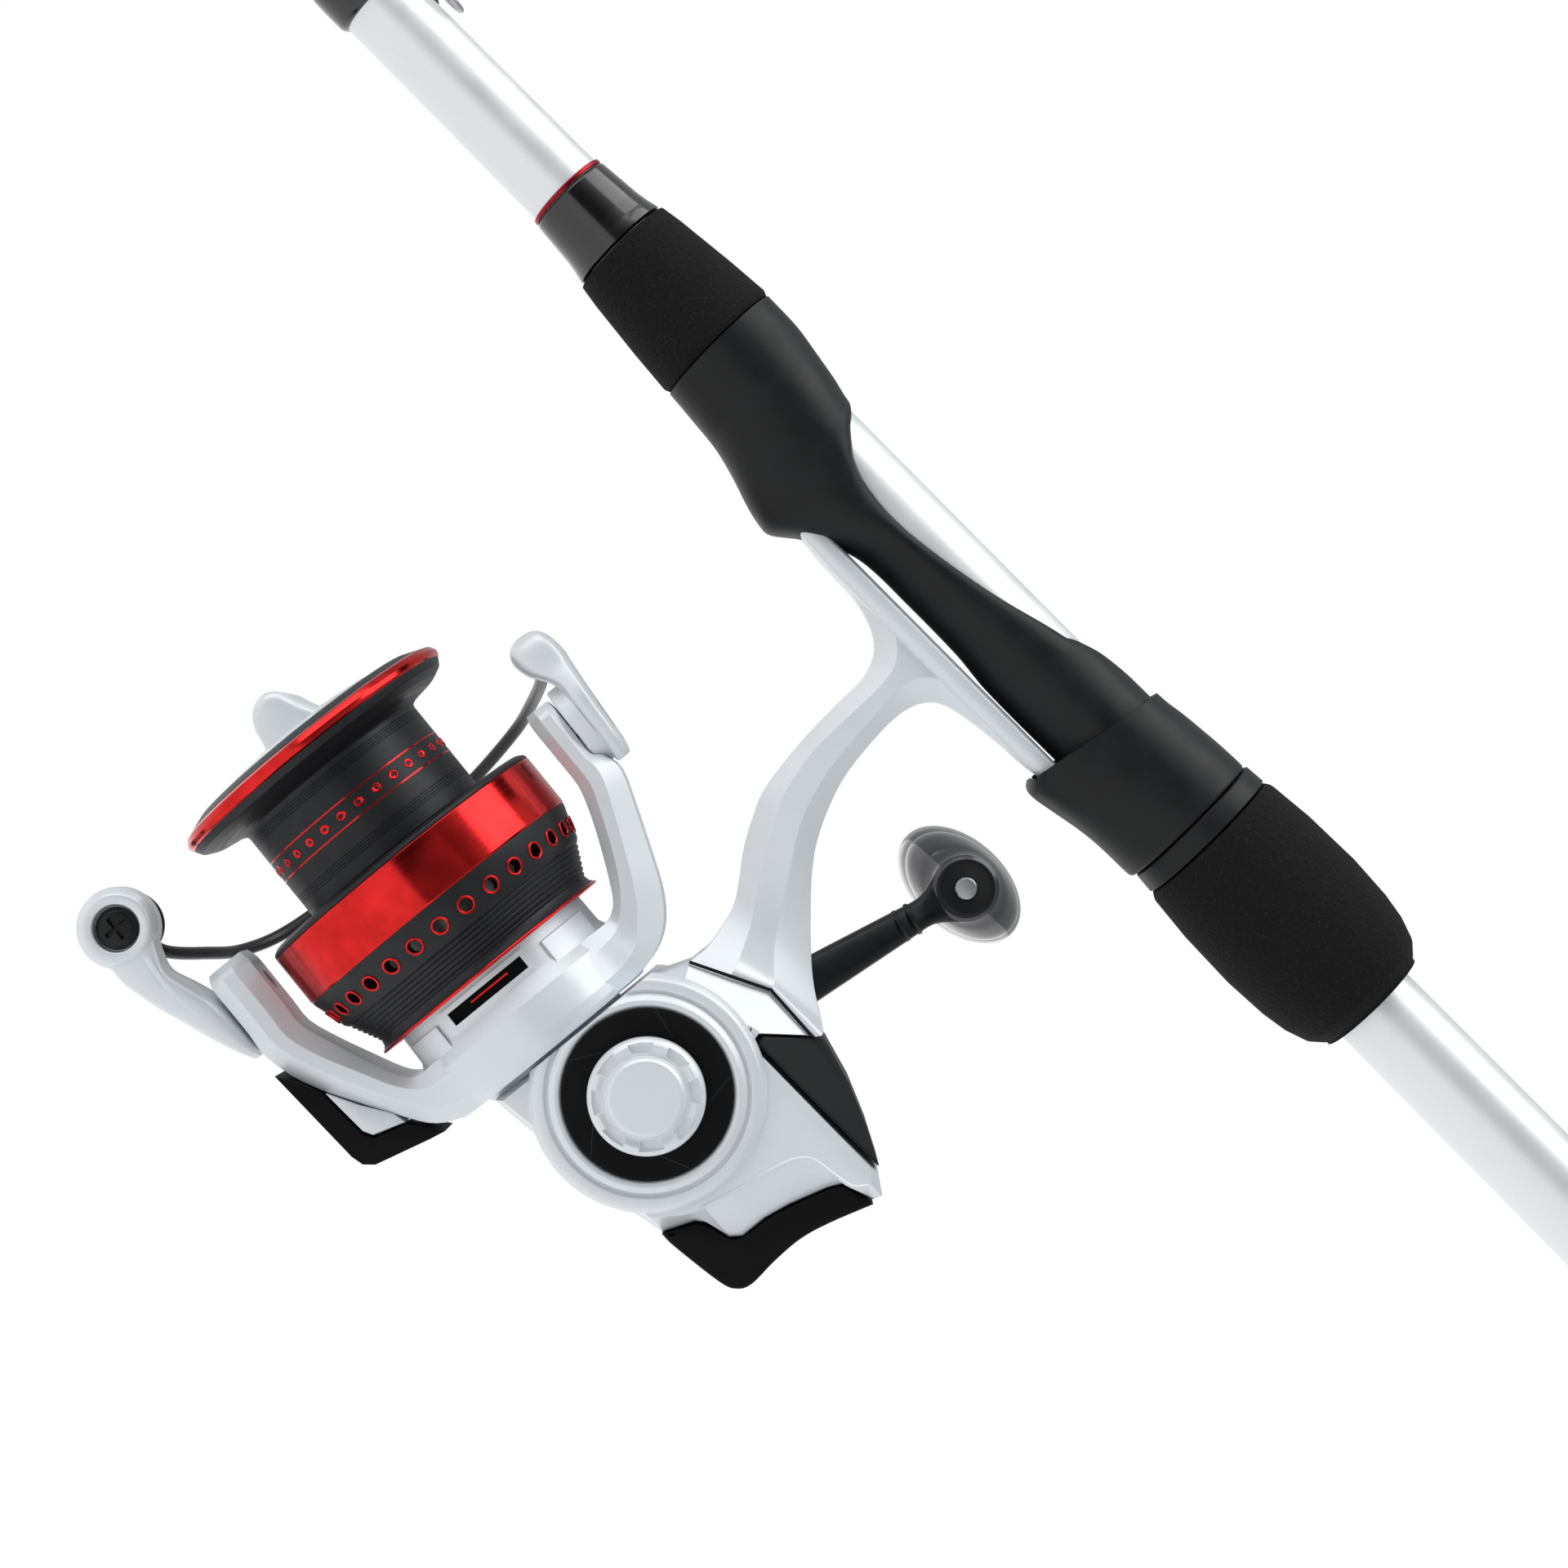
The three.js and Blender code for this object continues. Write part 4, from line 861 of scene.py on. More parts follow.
def faceted(stations, steps=4):
    """A body symmetric about y = 0. A station lists the (x, z, half width) of its long edges in order."""
    lines = [smooth([station[i] for station in stations], steps) for i in range(len(stations[0]))]
    sections = []
    for points in zip(*lines):
        near = [(x, half, z) for x, z, half in points]
        far = [(x, -half, z) for x, z, half in reversed(points)]
        sections.append(near + far)
    return skin(sections)


# ---------------------------------------------------------------- housing

HOUSING_FACE = 14.6                 # height of the cover's flat face over the parting plane
HOUSING_RIM = 10.8                  # height of the rim that its edges slope down to
BOSS_EDGE = 17.5                    # height of the boss over the parting plane
BOSS_FRONT = -0.55                  # where the rings are cut off, just behind the rotor

# Outline of a housing half, each corner with the corner of the raised face that belongs to it.
HOUSING = [
    ((-0.6, -11), (-1.4, -9.8)),
    ((-0.6, 17.2), (-1.4, 16.6)),
    ((-3, 23.8), (-5.4, 20.6)),
    ((-13.6, 30.4), (-17.0, 25.6)),
    ((-22.6, 30.8), (-17.4, 25.55)),
    ((-17.7, 25.6), (-17.35, 25.3)),
    ((-18.1, 23.8), (-17.8, 23.4)),
    ((-44.0, 26.1), (-42.8, 25.6)),
    ((-47.4, 24.2), (-44.8, 24.2)),
    ((-47.0, 22.8), (-43.4, 21.6)),
    ((-42.4, 20.8), (-35.8, 19.3)),
    ((-41.4, 18.6), (-34.6, 18.0)),
    ((-39.8, 12.8), (-33.6, 13.4)),
    ((-39.1, 8.8), (-32.8, 9.0)),
    ((-39.1, 4.6), (-32.1, 5.0)),
    ((-37.9, 2.9), (-31.9, 3.2)),
    ((-34.4, 1.9), (-31.4, 1.2)),
    ((-32.9, 0.6), (-30.8, 0.0)),
    ((-31.1, -4.2), (-28.1, -3.9)),
    ((-25.3, -5.9), (-24.6, -4.6)),
    ((-19, -8.6), (-19, -7.4)),
    ((-13.9, -9.6), (-13.9, -8.4)),
    ((-8.2, -9.6), (-8.2, -8.4)),
]
HOLLOW = [(-2.6, -8.4), (-2.6, 16.6), (-4.7, 22.6), (-13.9, 28.3), (-18.5, 28.4), (-15.9, 25.2),
          (-16.4, 21.8), (-41, 23.7), (-41.2, 22.4), (-40.2, 20.6), (-38, 12.6), (-37.3, 8.6),
          (-37.2, 5.8), (-36.2, 4.6), (-33.2, 3.8), (-31.6, 1.2), (-31.6, -3), (-25, -3.9), (-18, -7.2),
          (-8.2, -7.6)]
BUMPER_OUTSIDE = [(-31.3, -4.4), (-34.0, -4.1), (-42.0, -2.3), (-44.4, -1.0), (-45.3, 1.2), (-44.8, 6),
                  (-44.7, 11), (-45.6, 15.8), (-47.5, 22.4)]
BUMPER_INSIDE = [(-43.2, 20.8), (-42.0, 19.4), (-40.1, 12.7), (-39.4, 8.8), (-39.2, 4.9), (-38.2, 2.9),
                 (-35.2, 1.7), (-33.5, 0.4), (-32.2, -2.2)]
# Rear inlay: (x, z, half width).
INLAY = [(-24.1, 32.2, 10.9), (-31.5, 30.9, 11.1), (-38, 28.9, 11.4), (-43.9, 26.55, 12.0),
         (-37.5, 25.95, 13.3), (-31.1, 25.35, 13.9), (-24.6, 24.75, 14.3), (-18.4, 24.2, 14.4),
         (-17.9, 25.5, 14.2), (-20.6, 28.3, 12.6), (-23.2, 31.05, 11.1)]

# Fine bead along the edge where the flat face gives way to the slope above the rear bumper.
FACE_BEAD = [(-31.7, 2.6), (-32.9, 8.8), (-33.7, 13.3), (-34.7, 17.5), (-36.4, 19.8), (-39.8, 20.8),
             (-43.1, 21.8), (-44.7, 23.8)]


def housing_half(name, side, *nodes):
    """One moulded half: a flat face, edges that slope away from it, and the gear room inside."""
    outer = [corner for corner, _ in HOUSING]
    face = [corner for _, corner in HOUSING]
    layers = [(inset(outer, 0.25), 0.1), (outer, 0.35), (outer, HOUSING_RIM - 0.6),
              (inset(outer, 0.25), HOUSING_RIM), (face, HOUSING_FACE),
              (inset(face, 1.5), HOUSING_FACE + 0.12)]
    half = as_object(name, skin([[(x, side * y, z) for x, z in ring] for ring, y in layers]), REEL)
    low, high = sorted((0, side * 10.3))
    carve(half, skin([[(x, y, z) for x, z in HOLLOW] for y in (low, high)]), REEL)
    carve(half, about_y(turned([(-26, 0), (-26, 12), (26, 12), (26, 0)], 64)), REEL)
    finish(half, PEARL, "root", *nodes, sharp=28, bevel=0.45, slot="pearl")


def boss(name, side):
    """The round boss that carries the handle's axis, with its stepped rings."""
    profile = [(0.1, 12), (0.1, 16.6), (12, BOSS_EDGE), (15.2, BOSS_EDGE, 1.4), (16.4, 16.6, 1.0),
               (16.5, 15.2, 0.2), (15.9, 15.0, 0.1), (15.9, 14.7, 0.1), (16.9, 14.4, 0.4),
               (17.5, 13.6, 0.5), (17.4, 13.0, 0.3), (16.9, 12.7), (16.6, 12.7), (16.6, 7.3), (14.9, 7.3),
               (14.9, 12)]
    shape = [(side * y, radius) for y, radius in rounded(profile, 0.25)]
    ring = as_object(name, about_y(turned(shape, 128)), REEL)
    carve(ring, brick((BOSS_FRONT, -30, -40), (30, 30, 60)), REEL)
    finish(ring, PEARL, "root", sharp=35, slot="pearl")


def make_housing():
    housing_half("housing_frame_half", -1)
    housing_half("housing_cover_half", 1, "side_cover")
    boss("boss_handle_side", -1)
    boss("boss_cap_side", 1)
    edge = [tuple(point) for point in smooth(BUMPER_OUTSIDE, 5) + smooth(BUMPER_INSIDE, 4)]
    piece("corner_bumper", slab(edge, -11.6, 11.6, 0.7), RUBBER, "root", "rear_bumper", sharp=40,
          slot="bumper_rubber")
    for label, side in (("handle", -1), ("cap", 1)):
        bead = swept([(x, side * (HOUSING_FACE - 0.15), z) for x, z in FACE_BEAD], 0.32, 10, 4)
        piece(f"face_bead_{label}", bead, PEARL, "root", slot="pearl")
    inlay = skin([[(x, side * half, z) for x, z, half in INLAY] for side in (-1, 1)])
    piece("rear_inlay", inlay, CHARCOAL, "root", "rear_panel", sharp=35, bevel=0.5, slot="charcoal")
    wall = [(-2.7, 7), (-2.7, 10.6), (-0.7, 10.6), (-0.7, 12.3), (0.6, 12.6), (12.4, 12.6, 0.5),
            (13, 12.3, 0.3), (13, 11.3), (2.2, 11.3), (2.2, 7)]
    piece("rotor_nose", turned(rounded(wall, 0.1)), PEARL_SATIN, "root", slot="pearl")


# Long edges of the stem, from the housing up to the foot: front edge, two facet lines, rear edge.
STEM = [
    ((-2.95, 24.1, 9.6), (-8.3, 27.5, 10.7), (-13.6, 30.8, 10.9), (-23.2, 31.3, 10.2)),
    ((-2.95, 25.4, 8.6), (-8.0, 28.3, 10.5), (-13.5, 31.3, 10.8), (-23.6, 32.4, 9.4)),
    ((-2.8, 28.0, 7.0), (-7.0, 30.2, 9.4), (-12.8, 32.0, 9.8), (-22.0, 33.4, 7.8)),
    ((-0.9, 33.6, 5.0), (-4.6, 34.0, 7.6), (-9.6, 34.6, 8.4), (-18.4, 35.2, 6.0)),
    ((1.9, 37.2, 4.2), (-1.7, 37.4, 6.6), (-6.8, 37.6, 7.4), (-14.6, 37.6, 4.8)),
    ((5.0, 40.6, 3.6), (1.6, 41.4, 6.0), (-3.8, 41.4, 6.8), (-8.9, 42.1, 4.0)),
    ((8.0, 45.0, 3.4), (4.8, 46.0, 5.8), (-0.2, 45.9, 6.4), (-3.9, 46.5, 3.7)),
    ((10.0, 49.0, 3.3), (7.3, 50.0, 5.7), (2.9, 50.2, 6.2), (-0.2, 51.0, 3.6)),
    ((11.8, 57.0, 3.2), (9.6, 57.6, 5.6), (5.8, 57.2, 6.0), (3.4, 58.0, 3.5)),
    ((12.8, 64.9, 3.2), (10.3, 65.2, 5.5), (7.4, 64.9, 5.8), (5.2, 65.6, 3.5)),
    ((13.2, 69.6, 3.2), (10.7, 70.6, 5.5), (8.2, 70.6, 5.7), (5.7, 71.2, 3.5)),
    ((14.6, 73.2, 3.2), (11.8, 75.0, 5.4), (8.6, 75.2, 5.6), (4.7, 75.2, 3.5)),
    ((17.2, 75.4, 3.2), (15.4, 77.9, 5.3), (6.0, 78.8, 5.4), (2.2, 77.4, 3.6)),
    ((21.5, 76.6, 3.4), (21.5, 79.2, 5.3), (0.5, 80.6, 5.4), (-2.6, 78.9, 3.7)),
    ((27.0, 76.9, 3.6), (27.0, 79.5, 5.2), (-5.0, 81.4, 5.3), (-7.4, 80.0, 3.9)),
]

# Reel foot: (u, z low, z high, y low, y high).
FOOT = [(-30.2, -9.8, -8.6, -4.4, 4.4), (-29.6, -10.5, -8.5, -5.6, 5.6), (-24, -11.9, -8.5, -6.15, 6.15),
        (-14, -12.3, -8.5, -6.2, 6.2), (5, -12.4, -8.5, -6.2, 6.2), (18, -12.2, -8.5, -6.2, 6.2),
        (23, -11.8, -8.5, -6.1, 6.1), (27, -11.4, -8.5, -5.0, 5.0), (30, -10.9, -8.6, -3.4, 3.4),
        (30.6, -10.4, -8.8, -2.2, 2.2)]


def make_stem():
    piece("stem", faceted(STEM), PEARL, "root", "reel_frame", sharp=16, bevel=0.5, slot="pearl")
    seam = [(-2.9, 10.9, 23.95), (-8.3, 11.1, 27.3), (-13.4, 11.1, 30.45), (-14.2, 11.1, 30.65),
            (-23.0, 10.9, 31.0)]
    piece("cover_seam", swept(seam, 0.24, 8, 4), SEAM_AND_SHADE_BLACK, "root", slot="arm_black")
    piece("reel_foot", lofted(FOOT, 5), PEARL, "root", place=SEAT, sharp=50, slot="pearl")


def make_cap():
    """Screw cap: a raised disc in a ring of eight finger notches, on a black ring."""
    rim = rounded([(18.1, 6.0), (18.1, 7.6, 0.3), (18.4, 8.55, 0.4), (22.0, 8.65, 1.3), (22.9, 7.4, 0.6),
                   (22.5, 6.6, 0.3), (22.5, 5.9, 0.2), (23.5, 5.7, 0.3), (23.9, 5.2, 0.3), (23.8, 0)],
                  0.2, closed=False)
    cap = as_object("cap_shell", about_y(turned([(18.1, 0)] + rim, 128)), REEL)
    gap = [(6.2, -1.45), (7.7, -1.9), (7.95, 0), (7.7, 1.9), (6.2, 1.45)]
    for i in range(8):
        angle = math.radians(45 * i + 12)
        notch = slab(gap, 22.05, 30, 0.3, 3)
        notch.transform(Matrix.Translation((CRANK_X, 0, CRANK_Z)) @ Matrix.Rotation(angle, 4, "Y"))
        carve(cap, notch, REEL)
    finish(cap, PEARL, "cap", "screw_cap", sharp=35, bevel=0.22, slot="pearl")
    thread = [(6.6, 0), (6.6, 1.9), (14.6, 1.9), (14.6, 3.7), (18.4, 3.7), (18.4, 0)]
    piece("cap_thread", about_y(turned(thread, 48)), STEEL_PIN, "cap", slot="steel")
    ring = rounded([(15.0, 4.3), (15.0, 6.8), (16.7, 6.8), (16.7, 12.55), (17.25, 12.6, 0.25),
                    (17.4, 12.2, 0.2), (17.35, 4.3)], 0.05)
    piece("bearing_ring", about_y(turned(ring, 128)), RUBBER, "root", "bearing_cover", slot="black_trim")
    for i in range(5):
        inner, outer = math.radians(72 * i + 64), math.radians(72 * i + 45)
        line = [(CRANK_X + radius * math.cos(angle), 17.33, CRANK_Z + radius * math.sin(angle))
                for radius, angle in ((9.0, inner), (12.3, outer))]
        piece(f"ring_line_{i + 1}", swept(line, 0.12, 8, 4), SATIN_BLACK, "root", slot="black_trim")


make_housing()
make_stem()
make_cap()


# ---------------------------------------------------------------- rotor

# Long edges of a rotor arm: outer edge, two facet lines and inner edge, each point as
# (x, distance from the axis, half width).
TOP_ARM = [
    ((0.3, 12.0, 12.4), (2.6, 12.0, 13.6), (6.6, 12.0, 13.6), (9.4, 12.0, 12.0)),
    ((0.3, 15.4, 10.6), (2.7, 15.0, 11.8), (6.8, 14.6, 11.8), (9.4, 15.0, 10.4)),
    ((0.6, 18.4, 9.0), (3.2, 17.6, 10.6), (7.0, 16.8, 10.6), (9.3, 17.0, 9.0)),
    ((1.8, 21.8, 7.8), (4.7, 20.0, 9.4), (7.7, 18.9, 9.4), (9.5, 18.8, 8.0)),
    ((4.2, 24.8, 6.9), (7.4, 22.4, 8.6), (9.6, 21.1, 8.6), (10.9, 20.6, 7.4)),
    ((8.2, 27.4, 6.3), (11.0, 24.6, 8.1), (12.6, 23.3, 8.1), (13.6, 22.1, 6.8)),
    ((13.6, 29.6, 5.8), (15.8, 26.8, 7.6), (16.9, 25.4, 7.6), (17.5, 23.9, 6.2)),
    ((19.9, 32.0, 5.4), (21.0, 29.0, 7.1), (21.7, 27.4, 7.1), (22.1, 25.8, 5.8)),
    ((25.6, 33.9, 5.0), (25.9, 30.9, 6.8), (26.2, 29.0, 6.8), (26.4, 27.2, 5.5)),
    ((28.8, 33.2, 4.8), (28.8, 31.2, 6.8), (28.8, 29.2, 6.8), (28.8, 27.5, 5.4)),
    ((30.2, 31.9, 5.6), (30.2, 30.9, 6.8), (30.2, 29.2, 6.8), (30.2, 27.5, 5.4)),
    ((34.0, 31.9, 5.6), (34.0, 30.9, 6.8), (34.0, 29.2, 6.8), (34.0, 27.5, 5.4)),
    ((38.4, 31.9, 5.4), (38.4, 30.9, 6.6), (38.4, 29.2, 6.6), (38.4, 27.5, 5.2)),
    ((40.3, 31.7, 4.0), (40.3, 30.8, 4.8), (40.3, 29.2, 4.8), (40.3, 27.8, 4.0)),
]
BOTTOM_ARM = [
    ((0.3, 12.0, 12.4), (2.6, 12.0, 13.6), (6.6, 12.0, 13.6), (9.4, 12.0, 12.0)),
    ((0.3, 14.8, 10.8), (2.7, 14.6, 12.0), (6.8, 14.4, 12.0), (9.4, 14.8, 10.6)),
    ((1.0, 18.0, 9.2), (3.4, 17.4, 10.7), (7.0, 16.8, 10.7), (9.3, 16.8, 9.2)),
    ((3.0, 21.0, 8.0), (5.4, 20.0, 9.6), (8.0, 19.1, 9.6), (9.9, 18.7, 8.2)),
    ((7.0, 24.0, 7.0), (9.0, 22.6, 8.8), (10.6, 21.5, 8.8), (11.8, 20.3, 7.4)),
    ((12.6, 27.8, 6.3), (14.2, 25.8, 8.1), (15.3, 24.2, 8.1), (16.1, 22.4, 6.6)),
    ((18.9, 31.6, 5.8), (20.0, 29.0, 7.4), (20.7, 27.2, 7.4), (21.3, 24.8, 5.9)),
    ((25.4, 33.7, 5.4), (25.7, 31.3, 6.9), (25.9, 29.2, 6.9), (26.1, 26.6, 5.5)),
    ((30.0, 33.6, 5.4), (30.0, 31.4, 6.8), (30.0, 29.2, 6.8), (30.0, 26.6, 5.4)),
    ((34.0, 33.6, 5.4), (34.0, 31.4, 6.8), (34.0, 29.2, 6.8), (34.0, 26.6, 5.4)),
    ((38.4, 33.6, 5.2), (38.4, 31.4, 6.6), (38.4, 29.2, 6.6), (38.4, 26.6, 5.2)),
    ((40.3, 33.0, 3.8), (40.3, 31.2, 4.8), (40.3, 29.2, 4.8), (40.3, 27.0, 4.0)),
]
ARM_BUMPER = [(22.6, -34.3), (6.2, -33), (4.3, -32.45), (3.1, -31.0), (0.9, -22.2), (0.45, -19.9),
              (2.7, -21.7), (4.8, -23.7), (6.3, -28.8), (7.8, -29.7), (16.2, -30.5), (19.4, -32.0)]
ARM_COVER = [(5.2, -23.6), (6.7, -28.5), (8.1, -29.35), (15.9, -30.1), (11.5, -27.4), (7.3, -24.2)]


def make_rotor():
    cup_outer = [(0.05, 17.2, 0.3), (1.0, 17.9, 0.5), (2.5, 18.25, 1), (7.6, 18.3, 0.6),
                 (10.4, 16.9, 1.2), (15.2, 16.8, 0.8), (16.2, 17.1, 0.6), (34, 17.1, 0.4)]
    cup_inner = [(34, 15.4), (19, 15.4), (19, 3.9), (15.6, 3.9), (15.6, 13.9), (0.05, 13.9)]
    cup = as_object("rotor_cup", turned(rounded(cup_outer + cup_inner, 0.15), 128), REEL)
    carve(cup, brick((11.3, 10, -8.2), (13.6, 20, 5.7)), REEL)
    finish(cup, PEARL, "rotor_body", "rotor", sharp=32, bevel=0.18, slot="pearl")

    opening = brick((11.4, 8, -8.1), (13.5, 30, 5.6))
    band = [(10.6, 15.5), (10.6, 17.1), (14.3, 17.1), (14.3, 15.5)]
    raised = as_object("window_frame", turned(band, 160), REEL)
    carve(raised, brick((9, 8, -8.9), (16, 30, 6.4)), REEL, "INTERSECT")
    carve(raised, opening, REEL)
    finish(raised, PEARL, "rotor_body", sharp=32, bevel=0.12, slot="pearl")
    # Near-black block behind the window's opening: painted shade of the hollow inside the rotor.
    piece("window_painted_shade", brick((11.0, 12.2, -8.4), (13.9, 13.6, 5.9)), SEAM_AND_SHADE_BLACK, "rotor_body",
          slot="arm_black")
    piece("window_red", brick((12.5, 12.4, -4.4), (12.9, 13.9, 2.6)), RED, "rotor_body", bevel=0.1,
          slot="red_metal")

    band = [(9.0, 15.2), (9.0, 17.45), (13.2, 17.3), (13.2, 15.2)]
    for label, low, high in (("top", 9.2, 16), ("bottom", -16, -10.6)):
        step = as_object(f"cup_step_{label}", turned(band, 160), REEL)
        carve(step, brick((8, 3, low), (16, 30, high)), REEL, "INTERSECT")
        finish(step, PEARL, "rotor_body", sharp=32, bevel=0.15, slot="pearl")

    for label, stations, flip in (("top", TOP_ARM, 1), ("bottom", BOTTOM_ARM, -1)):
        stations = [[(x, flip * z, half) for x, z, half in station] for station in stations]
        arm = as_object(f"rotor_arm_{label}", faceted(stations, 3), REEL)
        carve(arm, about_z(turned([(-50, 0), (-50, 1.7), (50, 1.7), (50, 0)], 32), BAIL_X), REEL)
        finish(arm, PEARL, "rotor_body", sharp=18, bevel=0.3, slot="pearl")
    piece("arm_guard", slab(ARM_BUMPER, -7.6, 7.6, 0.3), RUBBER, "rotor_body", "arm_bumper",
          sharp=40, slot="bumper_rubber")
    piece("arm_inlay", slab(ARM_COVER, -7.45, 7.45, 0.25), PEARL, "rotor_body", "arm_cover",
          sharp=40, slot="pearl")


make_rotor()


# ---------------------------------------------------------------- bail and line roller

# Arms of the bail: (x, z low, z high, y low, y high).
BAIL_ARM = [
    (26.9, 34.3, 36.2, -4.2, 4.2), (27.3, 34.2, 36.6, -5.2, 5.2), (29.1, 34.2, 37.0, -6.2, 6.2),
    (31.4, 34.2, 37.2, -6.8, 6.8), (34.5, 34.2, 37.4, -7.0, 7.0), (38, 34.2, 37.7, -6.7, 6.6),
    (41, 34.1, 38.0, -6.2, 5.4), (43.2, 33.0, 38.2, -6.0, 4.4), (44.9, 31.8, 38.4, -5.7, 3.9),
    (47.2, 31.1, 38.2, -5.3, 3.5), (48.9, 31.4, 37.6, -4.6, 2.8), (50.0, 32.4, 36.5, -3.2, 1.6),
    (50.4, 33.6, 35.2, -1.8, 0.4),
]
ROLLER_ARM = [
    (26.5, -35.6, -34.5, -2.6, 2.6), (27.3, -36.0, -34.1, -4.6, 4.6), (29, -36.9, -34.0, -5.7, 5.7),
    (32.8, -38.6, -34.0, -6.1, 6.1), (37, -40.2, -34.2, -6.0, 6.1), (41.2, -41.8, -35.6, -4.8, 6.0),
    (44.7, -42.8, -36.9, -2.6, 5.8), (47.4, -43.5, -36.3, -1.2, 5.4), (50.6, -43.7, -35.0, -0.8, 5.0),
]
WIRE = [(53.6, -12, -39), (48.8, -14.5, -38.4), (44.7, -24, -34.6), (42, -33, -31), (40.3, -41, -24.5),
        (39.8, -47, -12), (40, -49, 0), (40.6, -47, 12.5), (42, -39, 23.3), (43.2, -30, 28.4),
        (44.3, -18, 32.2), (45.6, -11, 33.4), (46.55, -2.8, 34.25)]


def hole(obj, profile):
    """Cuts a stepped hole along the bail's hinge."""
    carve(obj, about_z(turned(profile, 48), BAIL_X), REEL)


def on_roller(profile, sides=64):
    """A body turned about the axis of the line roller."""
    return about_y(turned(profile, sides), ROLLER_X, ROLLER_Z)


def cross_recess(screw, x, z, reach, half_width, low, high):
    """Cuts a cross into the head of a screw that points along Y."""
    for across, along in ((reach, half_width), (half_width, reach)):
        carve(screw, brick((x - across, low, z - along), (x + across, high, z + along)), REEL)


def make_bail():
    arm = as_object("bail_arm_top", lofted(BAIL_ARM, 4.5, 48), REEL)
    hole(arm, [(30, 0), (30, 1.8), (36, 1.8), (36, 3.4), (44, 3.4), (44, 0)])
    finish(arm, PEARL, "bail", "bail_arm", sharp=45, bevel=0.12, slot="pearl")
    washer = rounded([(32.2, 1.8), (32.2, 6.9, 0.3), (34.6, 6.9), (34.6, 1.8)], 0)
    piece("bail_hinge_top", about_z(turned(washer, 64), BAIL_X), PEARL, "bail", slot="pearl")

    arm = as_object("bail_arm_bottom", lofted(ROLLER_ARM, 4, 48), REEL)
    hole(arm, [(-50, 0), (-50, 3.4), (-36.6, 3.4), (-36.6, 1.8), (-30, 1.8), (-30, 0)])
    finish(arm, PEARL, "bail", "roller_arm", sharp=45, bevel=0.12, slot="pearl")
    rim = rounded([(-0.8, 1.7), (-0.8, 6.1, 0.6), (4.0, 6.15, 1.6), (5.5, 5.0, 0.9), (5.4, 3.6, 0.3),
                   (3.2, 3.5), (3.2, 1.7)], 0.1)
    piece("roller_boss", on_roller(rim, 96), PEARL, "bail", slot="pearl")
    ridge = [(48.2, 4.9, -38.1), (46, 5.4, -38.4), (41.5, 5.75, -38.4), (36.5, 5.85, -37.4),
             (32.6, 5.7, -36.2)]
    piece("arm_ridge", swept(ridge, lambda t: 0.55 - 0.3 * t, 10), PEARL, "bail", slot="pearl")

    piece("bail_wire_bar", swept(WIRE, 1.0, 20, 10), BLACK_WIRE, "bail", "bail_wire", sharp=60,
          slot="gunmetal")
    cone = rounded([(-13.6, 0), (-13.4, 2.0, 0.8), (-11.0, 4.3, 1.2), (-9.8, 4.5, 0.4), (-9.8, 0)], 0,
                   closed=False)
    piece("bail_wire_foot", on_roller(cone), PEARL, "bail", slot="pearl")
    roller = rounded([(-9.3, 1.6), (-9.3, 5.2, 0.3), (-8.5, 5.2, 0.4), (-7.3, 4, 0.8), (-3.5, 4, 0.8),
                      (-2.3, 5.2, 0.4), (-1.3, 5.2, 0.3), (-1.3, 1.6)], 0)
    piece("roller", on_roller(roller), GUNMETAL, "roller", "line_roller", slot="gunmetal")

    head = rounded([(3.4, 0), (3.4, 3.2), (4.4, 3.2, 0.5), (4.9, 2.4, 0.6), (5.0, 0)], 0, closed=False)
    screw = on_roller([(-11.8, 0), (-11.8, 1.1), (3.4, 1.1)] + head, 48)
    screw = as_object("roller_screw_head", screw, REEL)
    cross_recess(screw, ROLLER_X, ROLLER_Z, 1.9, 0.35, 3.9, 8)
    finish(screw, SATIN_BLACK, "bail", "roller_screw", sharp=35, bevel=0.08, slot="steel")


make_bail()


# ---------------------------------------------------------------- spool

SKIRT_RADIUS = 24.0
HOLE_X = 24.0                       # row of round holes in the skirt
HOLES = 30
DIMPLES = 30                        # rings on the arbor between its two lines


def fine_grooves(x_low, x_high, count, radius, depth):
    """Profile points of narrow V grooves turned into a cylinder."""
    pitch = (x_high - x_low) / count
    points = []
    for i in range(count):
        x = x_low + pitch * i
        points += [(x + pitch * 0.55, radius), (x + pitch * 0.7, radius - depth),
                   (x + pitch * 0.8, radius - depth), (x + pitch * 0.95, radius)]
    return points


def around(make, count, offset=0.0):
    """Copies of a small body spread round the X axis. Each is drawn with its outward side along Z."""
    copies = []
    for i in range(count):
        copy = make()
        copy.transform(Matrix.Rotation(2 * math.pi * (i + offset) / count, 4, "X"))
        copies.append(copy)
    return join(*copies)


